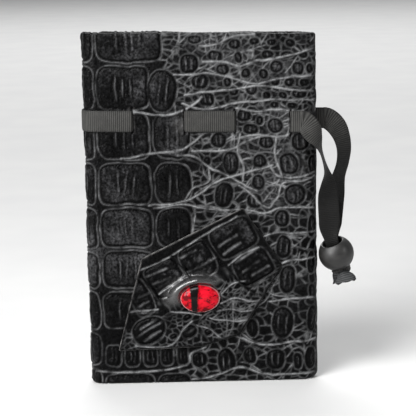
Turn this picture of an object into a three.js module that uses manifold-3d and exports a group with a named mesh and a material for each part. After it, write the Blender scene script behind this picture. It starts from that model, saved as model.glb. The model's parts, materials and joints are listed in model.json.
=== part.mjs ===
// Drawstring dice bag: a flat pouch of embossed leather with a lining, one grosgrain
// drawstring threaded through slits, a wooden bead stopper, and a glass eye set in a
// leather eyelid patch.
//
// Millimetres. +Z is up, the front faces -Y, +X is to the right seen from the front.
// The origin is the centre of the bottom face.

import * as THREE from 'three';
import { mergeVertices } from 'three/addons/utils/BufferGeometryUtils.js';
import Module from 'manifold-3d';

const wasm = await Module();
wasm.setup();

// ---------------------------------------------------------------------------
// Driving dimensions
// ---------------------------------------------------------------------------

const BAG_WIDTH = 104;
const BAG_HEIGHT = 159;
const BAG_DEPTH = 12.5;
const CLEARANCE = 0.3;

// Leather shell
const LEATHER = 1.5;
const HEM_LEATHER = 1.3;
const HEM_HEIGHT = 10;
const SEAM_TAPER = 9;
const BASE_EDGE_RADIUS = 1.8;
const SEAM_CORNER_RADIUS = 3.6;
const FOLD_CORNER_RADIUS = 1.2;
const ARC_SEGMENTS = 12;
const EDGE_SEGMENTS = 3;
// How far a cutting shape runs past the face it opens.
const OVERCUT = 1;

// Drawstring. Its line of slits drops a little towards the right.
const RIBBON_WIDTH = 9.5;
const RIBBON = 0.5;
const RIBBON_Z = 119.9;
const RIBBON_SLOPE = -0.02;
const SLIT_WIDTH = 1.1;
const SLIT_HEIGHT = 12;
const SLITS_X = [-30.2, -6.8, 15.4, 40.2];

// Lining
const LINING = 0.6;

// Seam threads
const THREAD_DIAMETER = 0.5;
const THREAD_SIDES = 8;

// Eyelid patch, its outline as seen from the front, and the glass eye
const PATCH = 1.2;
const PATCH_OUTLINE = [
    [18.3, 80.7],
    [-27.6, 58.4],
    [-39.0, 15.9],
    [-2.3, 17.0],
    [16.1, 22.2],
    [26.3, 38.3],
    [35.8, 54.3],
];
const EYE_X = -1.6;
const EYE_Z = 40;
const EYE_WIDTH = 18;
const EYE_HEIGHT = 13;
const EYE_GIRDLE = 1.2;
const EYE_DOME = 3.3;
const IRIS = 0.4;
const IRIS_MARGIN = 0.3;
const BROW_TILT = THREE.MathUtils.degToRad(27);
const BROW_OFFSET = new THREE.Vector2(-2.5, 3.5);
const BROW_SIZE = new THREE.Vector3(19, 4.2, 13.5);

// Bead, knot and tails. The bore leans towards the bag and towards the viewer.
const BEAD_DIAMETER = 16;
const BORE_DIAMETER = 9;
const BORE_CHAMFER = 0.6;
const BEAD_CENTRE = new THREE.Vector3(60.5, -1.5, 58);
const BORE_AXIS = new THREE.Vector3(-0.33, -0.24, 0.91).normalize();
const KNOT_RADIUS = 4.9;
const KNOT_HALF_HEIGHT = 2.8;

// Free strands. Both narrow as they reach the bore and lie one beside the other in it.
const BAND = 0.6;
const NECK_WIDTH = 6;
const NECK_RUN = 9;
const STRAND_APART = 0.7;
const BORE_LEAD_IN = 6.2;
const BORE_MIDDLE = 1;
const BAND_STEPS_PER_MM = 0.4;

// Where each strand leaves the leather, and how far the back one turns before it hangs.
const FRONT_EXIT_X = 43.4;
const BACK_EXIT_X = 55;
const BACK_TURN = 13;

// A strand's route: [x, y, z, then the width's direction x, y, z] at each point. Each
// strand leaves with its width upright and hangs with its width across.
const FRONT_STRAND = [
    [FRONT_EXIT_X + 4 * CLEARANCE, -7.0, 119.0, 0, 0, 1],
    [45.8, -7.05, 119.0, 0.05, 0, 1],
    [47.6, -7.3, 117.5, 0.5, 0, 0.85],
    [49.6, -7.4, 114.2, 0.75, 0.3, 0.6],
    [51.7, -6.9, 110.3, 0.5, 0.8, 0.3],
    [53.2, -6.5, 105.9, 0.2, 1, 0.1],
    [54.5, -6.4, 101.5, 0.15, 1, 0],
    [55.7, -6.3, 96.4, 0.3, 0.95, 0],
    [56.2, -6.0, 91.5, 0.7, 0.7, 0],
    [56.5, -5.2, 86.0, 0.95, 0.3, 0],
    [56.9, -4.4, 79.5, 1, 0, 0],
    [57.2, -3.8, 74.0, 1, 0, 0],
    [57.4, -3.5, 69.0, 1, 0, 0],
];
const BACK_STRAND = [
    [BACK_EXIT_X + CLEARANCE, 6.8, 118.8, 0, 0, 1],
    [56.6, 6.8, 118.8, 0.05, 0, 1],
    [58.7, 6.7, 117.8, 0.35, 0.1, 0.9],
    [61.6, 6.3, 114.9, 0.65, 0.3, 0.7],
    [63.8, 5.6, 110.3, 0.8, 0.55, 0.3],
    [64.8, 5.0, 104.9, 0.75, 0.65, 0],
    [64.2, 4.4, 98.9, 0.65, 0.7, -0.1],
    [62.1, 3.4, 92.0, 0.7, 0.65, 0],
    [60.3, 1.6, 84.5, 0.95, 0.3, 0],
    [58.9, -0.3, 76.0, 1, 0, 0],
    [58.2, -1.6, 69.0, 1, 0, 0],
];

// Each cut tail, from its cut end back to the knot.
const FRONT_TAIL = [
    [64.3, -4.8, 45.7, 0.7, 0, 0.7],
    [64.0, -4.4, 47.2, 0.7, 0, 0.6],
    [63.6, -3.9, 48.4, 0.8, 0, 0.4],
];
const BACK_TAIL = [
    [58.6, 2.6, 44.2, 0.8, 0.2, -0.5],
    [60.2, 2.5, 45.3, 0.8, 0.2, -0.5],
    [61.2, 2.4, 46.4, 0.8, 0.2, -0.4],
];

// Derived planes
const HALF_DEPTH = BAG_DEPTH / 2;
const LINING_INSET = LEATHER + CLEARANCE + RIBBON + CLEARANCE;
const FLOOR_TOP = LEATHER;
const LINING_FLOOR_Z = FLOOR_TOP + CLEARANCE + THREAD_DIAMETER + CLEARANCE;
const PANEL_LOW_Z = FLOOR_TOP + CLEARANCE;
const RIBBON_OUT = CLEARANCE + RIBBON;

// ---------------------------------------------------------------------------
// Materials
// ---------------------------------------------------------------------------

function material(color, roughness, metalness = 0) {
    return new THREE.MeshStandardMaterial({ color, roughness, metalness });
}

const makeLeather = () => material(0x17171a, 0.45);
const makeLining = () => material(0x101012, 0.8);
const makeRibbon = () => material(0x2b2b2c, 0.75);
const makeThread = () => material(0x0c0c0d, 0.7);
const makeBead = () => material(0x2a2a2b, 0.5);
const makeIris = () => material(0xd20a22, 0.4);
const makeGlass = () => material(0xff2a3c, 0.05);

// ---------------------------------------------------------------------------
// Geometry helpers
// ---------------------------------------------------------------------------

function toSolid(geometry) {
    geometry.deleteAttribute('normal');
    geometry.deleteAttribute('uv');
    const merged = mergeVertices(geometry, 1e-4);
    const mesh = new wasm.Mesh({
        numProp: 3,
        vertProperties: new Float32Array(merged.attributes.position.array),
        triVerts: new Uint32Array(merged.index.array),
    });
    return new wasm.Manifold(mesh);
}

function toGeometry(manifold) {
    const mesh = manifold.getMesh();
    const geometry = new THREE.BufferGeometry();
    geometry.setAttribute('position', new THREE.BufferAttribute(mesh.vertProperties, 3));
    geometry.setIndex(new THREE.BufferAttribute(mesh.triVerts, 1));
    geometry.computeVertexNormals();
    return geometry;
}

function box(low, high) {
    const size = high.map((value, axis) => value - low[axis]);
    const middle = high.map((value, axis) => (value + low[axis]) / 2);
    return new THREE.BoxGeometry(...size).translate(...middle);
}

function extrude(shape, depth, curveSegments = ARC_SEGMENTS) {
    return new THREE.ExtrudeGeometry(shape, { depth, bevelEnabled: false, curveSegments });
}

// A shape drawn in X and Z, thick along Y from yLow to yHigh.
function extrudeAlongY(shape, yLow, yHigh, curveSegments) {
    return extrude(shape, yHigh - yLow, curveSegments)
        .rotateX(Math.PI / 2)
        .translate(0, yHigh, 0);
}

// A shape drawn in Y and Z, long along X and centred on it.
function extrudeAlongX(shape, length, curveSegments) {
    const turn = new THREE.Matrix4().makeBasis(
        new THREE.Vector3(0, 1, 0),
        new THREE.Vector3(0, 0, 1),
        new THREE.Vector3(1, 0, 0),
    );
    return extrude(shape, length, curveSegments)
        .applyMatrix4(turn)
        .translate(-length / 2, 0, 0);
}

// The bag's plan at one height, taken in by inset: a round fold at the left and a
// tapering seam at the right.
function planShape(inset) {
    const halfDepth = HALF_DEPTH - inset;
    const foldX = -BAG_WIDTH / 2 + HALF_DEPTH;
    const seamX = BAG_WIDTH / 2 - SEAM_TAPER;
    const shape = new THREE.Shape();
    shape.moveTo(foldX, -halfDepth);
    shape.lineTo(seamX, -halfDepth);
    shape.absellipse(seamX, 0, SEAM_TAPER - inset, halfDepth, -Math.PI / 2, Math.PI / 2);
    shape.lineTo(foldX, halfDepth);
    shape.absellipse(foldX, 0, halfDepth, halfDepth, Math.PI / 2, 1.5 * Math.PI);
    return shape;
}

function planSolid(inset, zLow, zHigh) {
    return toSolid(extrude(planShape(inset), zHigh - zLow).translate(0, 0, zLow));
}

// A rectangle standing on the origin whose four corners have their own radii, given
// from the lower left round to the lower right.
function roundedRectangle(width, height, [lowLeft, highLeft, highRight, lowRight]) {
    const side = width / 2;
    const shape = new THREE.Shape();
    shape.moveTo(-side + lowLeft, 0);
    shape.lineTo(side - lowRight, 0);
    shape.absarc(side - lowRight, lowRight, lowRight, -Math.PI / 2, 0);
    shape.lineTo(side, height - highRight);
    shape.absarc(side - highRight, height - highRight, highRight, 0, Math.PI / 2);
    shape.lineTo(-side + highLeft, height);
    shape.absarc(-side + highLeft, height - highLeft, highLeft, Math.PI / 2, Math.PI);
    shape.lineTo(-side, lowLeft);
    shape.absarc(-side + lowLeft, lowLeft, lowLeft, Math.PI, 1.5 * Math.PI);
    return shape;
}

// Lifts what lies along X at height 0 to the drawstring's height, and gives it its slope.
function ontoRibbonLine(geometry) {
    const lift = new THREE.Matrix4().set(
        1, 0, 0, 0,
        0, 1, 0, 0,
        RIBBON_SLOPE, 0, 1, RIBBON_Z,
        0, 0, 0, 1,
    );
    return geometry.applyMatrix4(lift);
}

function ellipseShape(width, height) {
    const shape = new THREE.Shape();
    shape.absellipse(0, 0, width / 2, height / 2, 0, 2 * Math.PI);
    return shape;
}

function polygonShape(points) {
    return new THREE.Shape(points.map(([x, z]) => new THREE.Vector2(x, z)));
}

// ---------------------------------------------------------------------------
// Leather shell and lining, each in a front and a back half
// ---------------------------------------------------------------------------

// Everything in front of the middle plane, and above the floor strip.
function frontHalfSpace(lowZ) {
    const far = BAG_WIDTH;
    return toSolid(box([-far, -far, lowZ], [far, -CLEARANCE / 2, 2 * BAG_HEIGHT]));
}

// Everything behind the middle plane, with the whole floor up to floorTop.
function backHalfSpace(floorTop) {
    const far = BAG_WIDTH;
    const back = toSolid(box([-far, CLEARANCE / 2, -far], [far, far, 2 * BAG_HEIGHT]));
    const floor = toSolid(box([-far, -far, -far], [far, far, floorTop]));
    return back.add(floor);
}

function slitCuts(ySign) {
    const near = HALF_DEPTH - LEATHER - CLEARANCE;
    const far = HALF_DEPTH + CLEARANCE;
    const [yLow, yHigh] = ySign < 0 ? [-far, -near] : [near, far];
    return SLITS_X.map((x) => toSolid(ontoRibbonLine(box(
        [x - SLIT_WIDTH / 2, yLow, -SLIT_HEIGHT / 2],
        [x + SLIT_WIDTH / 2, yHigh, SLIT_HEIGHT / 2],
    ))));
}

// The leather with its hem turned in round the mouth.
function leatherShell() {
    const face = roundedRectangle(BAG_WIDTH, BAG_HEIGHT, [
        FOLD_CORNER_RADIUS, FOLD_CORNER_RADIUS, FOLD_CORNER_RADIUS, SEAM_CORNER_RADIUS,
    ]);
    const side = roundedRectangle(BAG_DEPTH, BAG_HEIGHT, [
        BASE_EDGE_RADIUS, LEATHER / 2, LEATHER / 2, BASE_EDGE_RADIUS,
    ]);
    const hemZ = BAG_HEIGHT - HEM_HEIGHT;
    const faceColumn = extrudeAlongY(face, -BAG_DEPTH, BAG_DEPTH, EDGE_SEGMENTS);
    const sideColumn = extrudeAlongX(side, 2 * BAG_WIDTH, EDGE_SEGMENTS);
    return planSolid(0, 0, BAG_HEIGHT)
        .intersect(toSolid(faceColumn))
        .intersect(toSolid(sideColumn))
        .subtract(planSolid(LEATHER, FLOOR_TOP, hemZ))
        .subtract(planSolid(LEATHER + HEM_LEATHER, hemZ - OVERCUT, BAG_HEIGHT + OVERCUT));
}

function leatherHalf(ySign) {
    const space = ySign < 0 ? frontHalfSpace(PANEL_LOW_Z) : backHalfSpace(FLOOR_TOP);
    const half = slitCuts(ySign).reduce(
        (leather, slit) => leather.subtract(slit),
        leatherShell().intersect(space),
    );
    return toGeometry(half);
}

function liningHalf(ySign) {
    const top = BAG_HEIGHT - HEM_HEIGHT - CLEARANCE;
    const floorTop = LINING_FLOOR_Z + LINING;
    const space = ySign < 0 ? frontHalfSpace(floorTop + CLEARANCE) : backHalfSpace(floorTop);
    const bag = planSolid(LINING_INSET, LINING_FLOOR_Z, top)
        .subtract(planSolid(LINING_INSET + LINING, floorTop, top + OVERCUT));
    return toGeometry(bag.intersect(space));
}

// ---------------------------------------------------------------------------
// Seam threads, lying between the leather and the lining
// ---------------------------------------------------------------------------

function threadGeometry(from, to) {
    const radius = THREAD_DIAMETER / 2;
    const length = from.distanceTo(to);
    const turn = new THREE.Quaternion().setFromUnitVectors(
        new THREE.Vector3(0, 1, 0),
        to.clone().sub(from).normalize(),
    );
    const middle = from.clone().add(to).multiplyScalar(0.5);
    return new THREE.CylinderGeometry(radius, radius, length, THREAD_SIDES)
        .applyQuaternion(turn)
        .translate(middle.x, middle.y, middle.z);
}

function sideSeamThread() {
    const x = BAG_WIDTH / 2 - LEATHER - CLEARANCE - THREAD_DIAMETER / 2;
    const low = LINING_FLOOR_Z + LINING + CLEARANCE;
    const high = BAG_HEIGHT - HEM_HEIGHT - 2 * CLEARANCE;
    return threadGeometry(new THREE.Vector3(x, 0, low), new THREE.Vector3(x, 0, high));
}

function bottomSeamThread() {
    const z = FLOOR_TOP + CLEARANCE + THREAD_DIAMETER / 2;
    const reach = BAG_WIDTH / 2 - SEAM_TAPER;
    return threadGeometry(new THREE.Vector3(-reach, 0, z), new THREE.Vector3(reach, 0, z));
}

// ---------------------------------------------------------------------------
// Drawstring stitches
// ---------------------------------------------------------------------------

// A ribbon standing on edge, drawn as its outline in plan.
function standingProfile(outline) {
    const upright = extrude(polygonShape(outline), RIBBON_WIDTH);
    return ontoRibbonLine(upright.translate(0, 0, -RIBBON_WIDTH / 2));
}

// A stretch of ribbon between the leather and the lining, from slit to slit.
function insideRun(fromX, toX, ySign) {
    const outer = ySign * (HALF_DEPTH - LEATHER - CLEARANCE);
    const inner = outer - ySign * RIBBON;
    return standingProfile([
        [fromX - RIBBON / 2, outer],
        [toX + RIBBON / 2, outer],
        [toX + RIBBON / 2, inner],
        [fromX - RIBBON / 2, inner],
    ]);
}

// A visible stitch with both ends turned in through their slits.
function outsideStitch(fromX, toX, ySign) {
    const inner = ySign * (HALF_DEPTH - LEATHER);
    const near = ySign * (HALF_DEPTH + CLEARANCE);
    const far = ySign * (HALF_DEPTH + RIBBON_OUT);
    return standingProfile([
        [fromX - RIBBON / 2, inner],
        [fromX - RIBBON / 2, far],
        [toX + RIBBON / 2, far],
        [toX + RIBBON / 2, inner],
        [toX - RIBBON / 2, inner],
        [toX - RIBBON / 2, near],
        [fromX + RIBBON / 2, near],
        [fromX + RIBBON / 2, inner],
    ]);
}

// The half of the stitch round the fold that lies on one side of the middle plane.
function foldStitchHalf(ySign) {
    const slitX = SLITS_X[0];
    const foldX = -BAG_WIDTH / 2 + HALF_DEPTH;
    const inner = ySign * (HALF_DEPTH - LEATHER);
    const near = ySign * (HALF_DEPTH + CLEARANCE);
    const far = ySign * (HALF_DEPTH + RIBBON_OUT);
    const lastAngle = Math.PI / 2 - CLEARANCE / HALF_DEPTH;
    const arc = (radius) => Array.from({ length: ARC_SEGMENTS + 1 }, (_, step) => {
        const angle = (step / ARC_SEGMENTS) * lastAngle;
        return [foldX - radius * Math.sin(angle), ySign * radius * Math.cos(angle)];
    });
    return standingProfile([
        [slitX + RIBBON / 2, inner],
        [slitX + RIBBON / 2, far],
        ...arc(HALF_DEPTH + RIBBON_OUT),
        ...arc(HALF_DEPTH + CLEARANCE).reverse(),
        [slitX - RIBBON / 2, near],
        [slitX - RIBBON / 2, inner],
    ]);
}

// The ribbon that comes out of the last slit and lies on the leather as far as toX.
function exitRun(toX, ySign) {
    const slitX = SLITS_X[SLITS_X.length - 1];
    const inner = ySign * (HALF_DEPTH - LEATHER);
    const near = ySign * (HALF_DEPTH + CLEARANCE);
    const far = ySign * (HALF_DEPTH + RIBBON_OUT);
    return standingProfile([
        [slitX - RIBBON / 2, inner],
        [slitX - RIBBON / 2, far],
        [toX, far],
        [toX, near],
        [slitX + RIBBON / 2, near],
        [slitX + RIBBON / 2, inner],
    ]);
}

// ---------------------------------------------------------------------------
// Free strands, bead, knot and tails
// ---------------------------------------------------------------------------

// The points where both strands run through the bore, one beside the other.
function borePoints(offset) {
    const across = new THREE.Vector3(1, 0, 0).projectOnPlane(BORE_AXIS).normalize();
    const apart = new THREE.Vector3().crossVectors(BORE_AXIS, across);
    const end = 2 * CLEARANCE + KNOT_HALF_HEIGHT - knotDistance();
    return [BORE_LEAD_IN, BORE_MIDDLE, end].map((along) => {
        const point = BEAD_CENTRE.clone()
            .addScaledVector(BORE_AXIS, along)
            .addScaledVector(apart, offset);
        return [point.x, point.y, point.z, across.x, across.y, across.z];
    });
}

function curveThrough(route) {
    return new THREE.CatmullRomCurve3(
        route.map(([x, y, z]) => new THREE.Vector3(x, y, z)),
        false,
        'centripetal',
    );
}

// A closed flat band along a route, from one length along it to another. It narrows
// from its full width to NECK_WIDTH over the NECK_RUN that ends at neckEnd.
function bandGeometry(route, from, to, neckEnd) {
    const middle = curveThrough(route);
    const sideways = new THREE.CatmullRomCurve3(
        route.map(([, , , x, y, z]) => new THREE.Vector3(x, y, z).normalize()),
    );
    const steps = Math.ceil((to - from) * BAND_STEPS_PER_MM);
    const positions = [];
    for (let step = 0; step <= steps; step += 1) {
        const along = THREE.MathUtils.lerp(from, to, step / steps);
        const share = middle.getUtoTmapping(0, along);
        const centre = middle.getPoint(share);
        const tangent = middle.getTangent(share);
        const across = sideways.getPoint(share).projectOnPlane(tangent).normalize();
        const normal = new THREE.Vector3().crossVectors(tangent, across);
        const narrowing = THREE.MathUtils.smoothstep(along, neckEnd - NECK_RUN, neckEnd);
        const halfWidth = THREE.MathUtils.lerp(RIBBON_WIDTH, NECK_WIDTH, narrowing) / 2;
        for (const [u, v] of [[-1, -1], [1, -1], [1, 1], [-1, 1]]) {
            const corner = centre.clone()
                .addScaledVector(across, u * halfWidth)
                .addScaledVector(normal, (v * BAND) / 2);
            positions.push(corner.x, corner.y, corner.z);
        }
    }
    const faces = [];
    for (let step = 0; step < steps; step += 1) {
        for (let side = 0; side < 4; side += 1) {
            const a = 4 * step + side;
            const b = 4 * step + ((side + 1) % 4);
            // Opposite faces split along the same diagonal, so that a twist keeps its thickness.
            if (side < 2) {
                faces.push(a, b, b + 4, a, b + 4, a + 4);
            } else {
                faces.push(a, b, a + 4, b, b + 4, a + 4);
            }
        }
    }
    const last = 4 * steps;
    faces.push(0, 2, 1, 0, 3, 2);
    faces.push(last, last + 1, last + 2, last, last + 2, last + 3);
    const geometry = new THREE.BufferGeometry();
    geometry.setAttribute('position', new THREE.Float32BufferAttribute(positions, 3));
    geometry.setIndex(faces);
    geometry.computeVertexNormals();
    return geometry;
}

// A strand from a length along its route, through the bore and down to the knot.
function strandGeometry(route, boreOffset, from) {
    const boreRoute = borePoints(boreOffset);
    const toKnot = curveThrough([...route, ...boreRoute]).getLength();
    const neckEnd = curveThrough([...route, boreRoute[0]]).getLength();
    return bandGeometry([...route, ...boreRoute], from, toKnot, neckEnd);
}

function tailGeometry(route) {
    const length = curveThrough(route).getLength();
    return bandGeometry(route, 0, length, NECK_RUN);
}

// Puts a geometry made along +Y onto the bore's axis, at a distance along it.
function ontoBore(geometry, along) {
    const turn = new THREE.Quaternion().setFromUnitVectors(new THREE.Vector3(0, 1, 0), BORE_AXIS);
    const place = BEAD_CENTRE.clone().addScaledVector(BORE_AXIS, along);
    return geometry.applyQuaternion(turn).translate(place.x, place.y, place.z);
}

function beadGeometry() {
    const radius = BEAD_DIAMETER / 2;
    const bore = BORE_DIAMETER / 2;
    const rim = bore + BORE_CHAMFER;
    const rimHeight = Math.sqrt(radius ** 2 - rim ** 2);
    const rimAngle = Math.asin(rimHeight / radius);
    const profile = [];
    for (let step = 0; step <= ARC_SEGMENTS; step += 1) {
        const angle = THREE.MathUtils.lerp(-rimAngle, rimAngle, step / ARC_SEGMENTS);
        profile.push(new THREE.Vector2(radius * Math.cos(angle), radius * Math.sin(angle)));
    }
    profile.push(new THREE.Vector2(bore, rimHeight - BORE_CHAMFER));
    profile.push(new THREE.Vector2(bore, BORE_CHAMFER - rimHeight));
    profile.push(profile[0].clone());
    return ontoBore(new THREE.LatheGeometry(profile, 2 * ARC_SEGMENTS), 0);
}

// The knot sits in the bore's lower rim, so the bead can't slide off.
function knotDistance() {
    const bore = BORE_DIAMETER / 2;
    const rimHeight = Math.sqrt((BEAD_DIAMETER / 2) ** 2 - (bore + BORE_CHAMFER) ** 2);
    const intoBore = KNOT_HALF_HEIGHT * Math.sqrt(1 - (bore / KNOT_RADIUS) ** 2);
    return rimHeight - BORE_CHAMFER + intoBore + 2 * CLEARANCE;
}

function knotGeometry() {
    const ball = new THREE.SphereGeometry(1, ARC_SEGMENTS, ARC_SEGMENTS)
        .scale(KNOT_RADIUS, KNOT_HALF_HEIGHT, KNOT_RADIUS);
    return ontoBore(ball, -knotDistance());
}

// ---------------------------------------------------------------------------
// Eyelid patch and glass eye
// ---------------------------------------------------------------------------

const PATCH_BACK_Y = -HALF_DEPTH - CLEARANCE;

// The flat patch with a brow that bulges round the eye, open where the eye shows.
function patchGeometry() {
    const outline = polygonShape(PATCH_OUTLINE);
    const reach = BROW_SIZE.y + PATCH;
    const column = toSolid(extrudeAlongY(outline, PATCH_BACK_Y - reach, PATCH_BACK_Y));
    const sheet = toSolid(extrudeAlongY(outline, PATCH_BACK_Y - PATCH, PATCH_BACK_Y));
    const brow = toSolid(
        new THREE.SphereGeometry(1, 2 * ARC_SEGMENTS, ARC_SEGMENTS)
            .scale(BROW_SIZE.x, BROW_SIZE.y, BROW_SIZE.z)
            .rotateY(-BROW_TILT)
            .translate(EYE_X + BROW_OFFSET.x, PATCH_BACK_Y, EYE_Z + BROW_OFFSET.y),
    );
    const margin = 2 * CLEARANCE + IRIS_MARGIN;
    const opening = ellipseShape(EYE_WIDTH + margin, EYE_HEIGHT + margin);
    const eyeHole = toSolid(
        extrudeAlongY(opening, PATCH_BACK_Y - reach - CLEARANCE, PATCH_BACK_Y + CLEARANCE)
            .translate(EYE_X, 0, EYE_Z),
    );
    return toGeometry(brow.intersect(column).add(sheet).subtract(eyeHole));
}

function irisGeometry() {
    const shape = ellipseShape(EYE_WIDTH - 2 * IRIS_MARGIN, EYE_HEIGHT - 2 * IRIS_MARGIN);
    return extrudeAlongY(shape, PATCH_BACK_Y - IRIS, PATCH_BACK_Y).translate(EYE_X, 0, EYE_Z);
}

// An oval cabochon: a short straight girdle under a dome.
function glassGeometry() {
    const profile = [new THREE.Vector2(0, 0), new THREE.Vector2(1, 0)];
    for (let step = 0; step <= ARC_SEGMENTS; step += 1) {
        const angle = (step / ARC_SEGMENTS) * (Math.PI / 2);
        const radius = step === ARC_SEGMENTS ? 0 : Math.cos(angle);
        profile.push(new THREE.Vector2(radius, EYE_GIRDLE + EYE_DOME * Math.sin(angle)));
    }
    return new THREE.LatheGeometry(profile, 3 * ARC_SEGMENTS)
        .scale(EYE_WIDTH / 2, 1, EYE_HEIGHT / 2)
        .rotateX(Math.PI)
        .translate(EYE_X, PATCH_BACK_Y - IRIS - CLEARANCE, EYE_Z);
}

// ---------------------------------------------------------------------------
// Assembly
// ---------------------------------------------------------------------------

const bag = new THREE.Group();

function part(name, geometry, look) {
    const mesh = new THREE.Mesh(geometry, look);
    mesh.name = name;
    bag.add(mesh);
    return mesh;
}

const [slitA, slitB, slitC, slitD] = SLITS_X;

part('leather_back', leatherHalf(1), makeLeather());
part('leather_front', leatherHalf(-1), makeLeather());
part('lining_back', liningHalf(1), makeLining());
part('lining_front', liningHalf(-1), makeLining());
part('side_seam_thread', sideSeamThread(), makeThread());
part('bottom_seam_thread', bottomSeamThread(), makeThread());

for (const [side, ySign] of [['front', -1], ['back', 1]]) {
    part(`ribbon_fold_${side}`, foldStitchHalf(ySign), makeRibbon());
    part(`ribbon_inside_left_${side}`, insideRun(slitA, slitB, ySign), makeRibbon());
    part(`ribbon_stitch_${side}`, outsideStitch(slitB, slitC, ySign), makeRibbon());
    part(`ribbon_inside_right_${side}`, insideRun(slitC, slitD, ySign), makeRibbon());
}
part('ribbon_exit_front', exitRun(FRONT_EXIT_X, -1), makeRibbon());
part('ribbon_exit_back', exitRun(BACK_EXIT_X, 1), makeRibbon());
part('ribbon_turn_back', bandGeometry(BACK_STRAND, 0, BACK_TURN, Infinity), makeRibbon());
part('ribbon_strand_front', strandGeometry(FRONT_STRAND, -STRAND_APART, 0), makeRibbon());
part(
    'ribbon_strand_back',
    strandGeometry(BACK_STRAND, STRAND_APART, BACK_TURN + 2 * CLEARANCE),
    makeRibbon(),
);
part('bead', beadGeometry(), makeBead());
part('ribbon_knot', knotGeometry(), makeRibbon());
part('ribbon_tail_front', tailGeometry(FRONT_TAIL), makeRibbon());
part('ribbon_tail_back', tailGeometry(BACK_TAIL), makeRibbon());

part('eyelid_patch', patchGeometry(), makeLeather());
part('eye_iris', irisGeometry(), makeIris());
part('eye_glass', glassGeometry(), makeGlass());

export default bag;
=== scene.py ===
"""Looks of the drawstring dice bag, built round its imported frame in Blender 4.5.

Lengths are millimetres in the row frame, and add_mesh turns them into metres. The bag
stands on z 0, its front faces -Y, its fold is at the left and its seam at the right.
"""

import json
import math
from collections import namedtuple

import bmesh
import bpy
import numpy as np
from mathutils import Matrix, Vector

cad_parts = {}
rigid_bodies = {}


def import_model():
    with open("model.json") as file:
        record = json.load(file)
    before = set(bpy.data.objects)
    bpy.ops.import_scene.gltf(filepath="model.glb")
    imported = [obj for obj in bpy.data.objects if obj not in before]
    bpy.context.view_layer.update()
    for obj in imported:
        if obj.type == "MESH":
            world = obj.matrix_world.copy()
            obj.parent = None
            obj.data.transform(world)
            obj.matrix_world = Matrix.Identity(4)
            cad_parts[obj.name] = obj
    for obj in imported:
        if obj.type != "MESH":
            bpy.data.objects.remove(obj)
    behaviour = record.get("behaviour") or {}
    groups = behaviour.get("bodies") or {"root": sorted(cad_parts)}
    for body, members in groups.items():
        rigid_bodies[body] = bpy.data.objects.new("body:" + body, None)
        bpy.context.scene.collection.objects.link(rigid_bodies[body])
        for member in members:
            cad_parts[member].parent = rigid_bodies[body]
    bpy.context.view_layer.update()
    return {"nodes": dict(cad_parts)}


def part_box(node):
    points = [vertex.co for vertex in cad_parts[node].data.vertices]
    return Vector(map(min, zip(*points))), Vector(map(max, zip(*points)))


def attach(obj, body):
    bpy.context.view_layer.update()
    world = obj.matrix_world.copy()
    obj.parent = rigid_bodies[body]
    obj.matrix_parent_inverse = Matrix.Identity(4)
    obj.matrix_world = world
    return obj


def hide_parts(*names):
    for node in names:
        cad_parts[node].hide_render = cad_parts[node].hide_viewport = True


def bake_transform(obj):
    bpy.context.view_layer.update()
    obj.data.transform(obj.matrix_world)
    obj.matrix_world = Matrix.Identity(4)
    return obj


for leftover in list(bpy.data.objects):
    bpy.data.objects.remove(leftover)

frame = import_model()
MM = 0.001


def box_mm(node):
    """Lowest and highest corner of a CAD node, in millimetres."""
    low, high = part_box(node)
    return np.array(low) / MM, np.array(high) / MM


def smoothstep(value, low, high):
    share = np.clip((value - low) / (high - low), 0, 1)
    return share * share * (3 - 2 * share)


def bell(distance, width):
    return np.exp(-((distance / width) ** 2))


def unit(vectors):
    return vectors / np.linalg.norm(vectors, axis=-1, keepdims=True)


# --- Sizes, from the frame and from how the bag is made ---

BAG_LOW, BAG_HIGH = box_mm("leather_back")
HALF_DEPTH = BAG_HIGH[1]
TOP = BAG_HIGH[2]
LEATHER = 1.5
# Between touching pieces.
GAP = 0.3
HEM_LEATHER = 1.3
HEM_HEIGHT = 10
SEAM_TAPER = 9
FOLD_X = BAG_LOW[0] + HALF_DEPTH
SEAM_X = BAG_HIGH[0] - SEAM_TAPER
RIM_RADIUS = (LEATHER + HEM_LEATHER) / 2
# The rounding of the edge round the base grows towards the seam.
BASE_EDGE = 1.8
BASE_EDGE_AT_SEAM = 3.6
# The spacing of the leather's points, fine enough for its veins.
GRID = 0.46

STITCH_LOW, STITCH_HIGH = box_mm("ribbon_stitch_front")
RIBBON_WIDTH = 9.5
RIBBON = 0.5
RIBBON_SLOPE = -0.02
RIBBON_Z = (STITCH_LOW[2] + STITCH_HIGH[2]) / 2 - RIBBON_SLOPE * (STITCH_LOW[0] + STITCH_HIGH[0]) / 2
FOLD_SLIT = box_mm("ribbon_fold_front")[1][0] - RIBBON / 2
SLITS_X = (
    FOLD_SLIT,
    STITCH_LOW[0] + RIBBON / 2,
    STITCH_HIGH[0] - RIBBON / 2,
    box_mm("ribbon_exit_front")[0][0] + RIBBON / 2,
)
SLIT_HALF_HEIGHT = 6

EYE_LOW, EYE_HIGH = box_mm("eye_glass")
EYE = (EYE_LOW + EYE_HIGH) / 2
EYE_HALF_WIDTH = (EYE_HIGH[0] - EYE_LOW[0]) / 2
EYE_HALF_HEIGHT = (EYE_HIGH[2] - EYE_LOW[2]) / 2

BEAD_LOW, BEAD_HIGH = box_mm("bead")
BEAD = (BEAD_LOW + BEAD_HIGH) / 2
BEAD_RADIUS = 8
BORE_RADIUS = 4.5
BORE_CHAMFER = 0.6
BORE_AXIS = unit(np.array([-0.33, -0.24, 0.91]))
BORE_ACROSS = unit(np.array([1.0, 0, 0]) - BORE_AXIS * BORE_AXIS[0])
BORE_OVER = np.cross(BORE_AXIS, BORE_ACROSS)

SEED = 7

# --- Camera and studio ---

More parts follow.
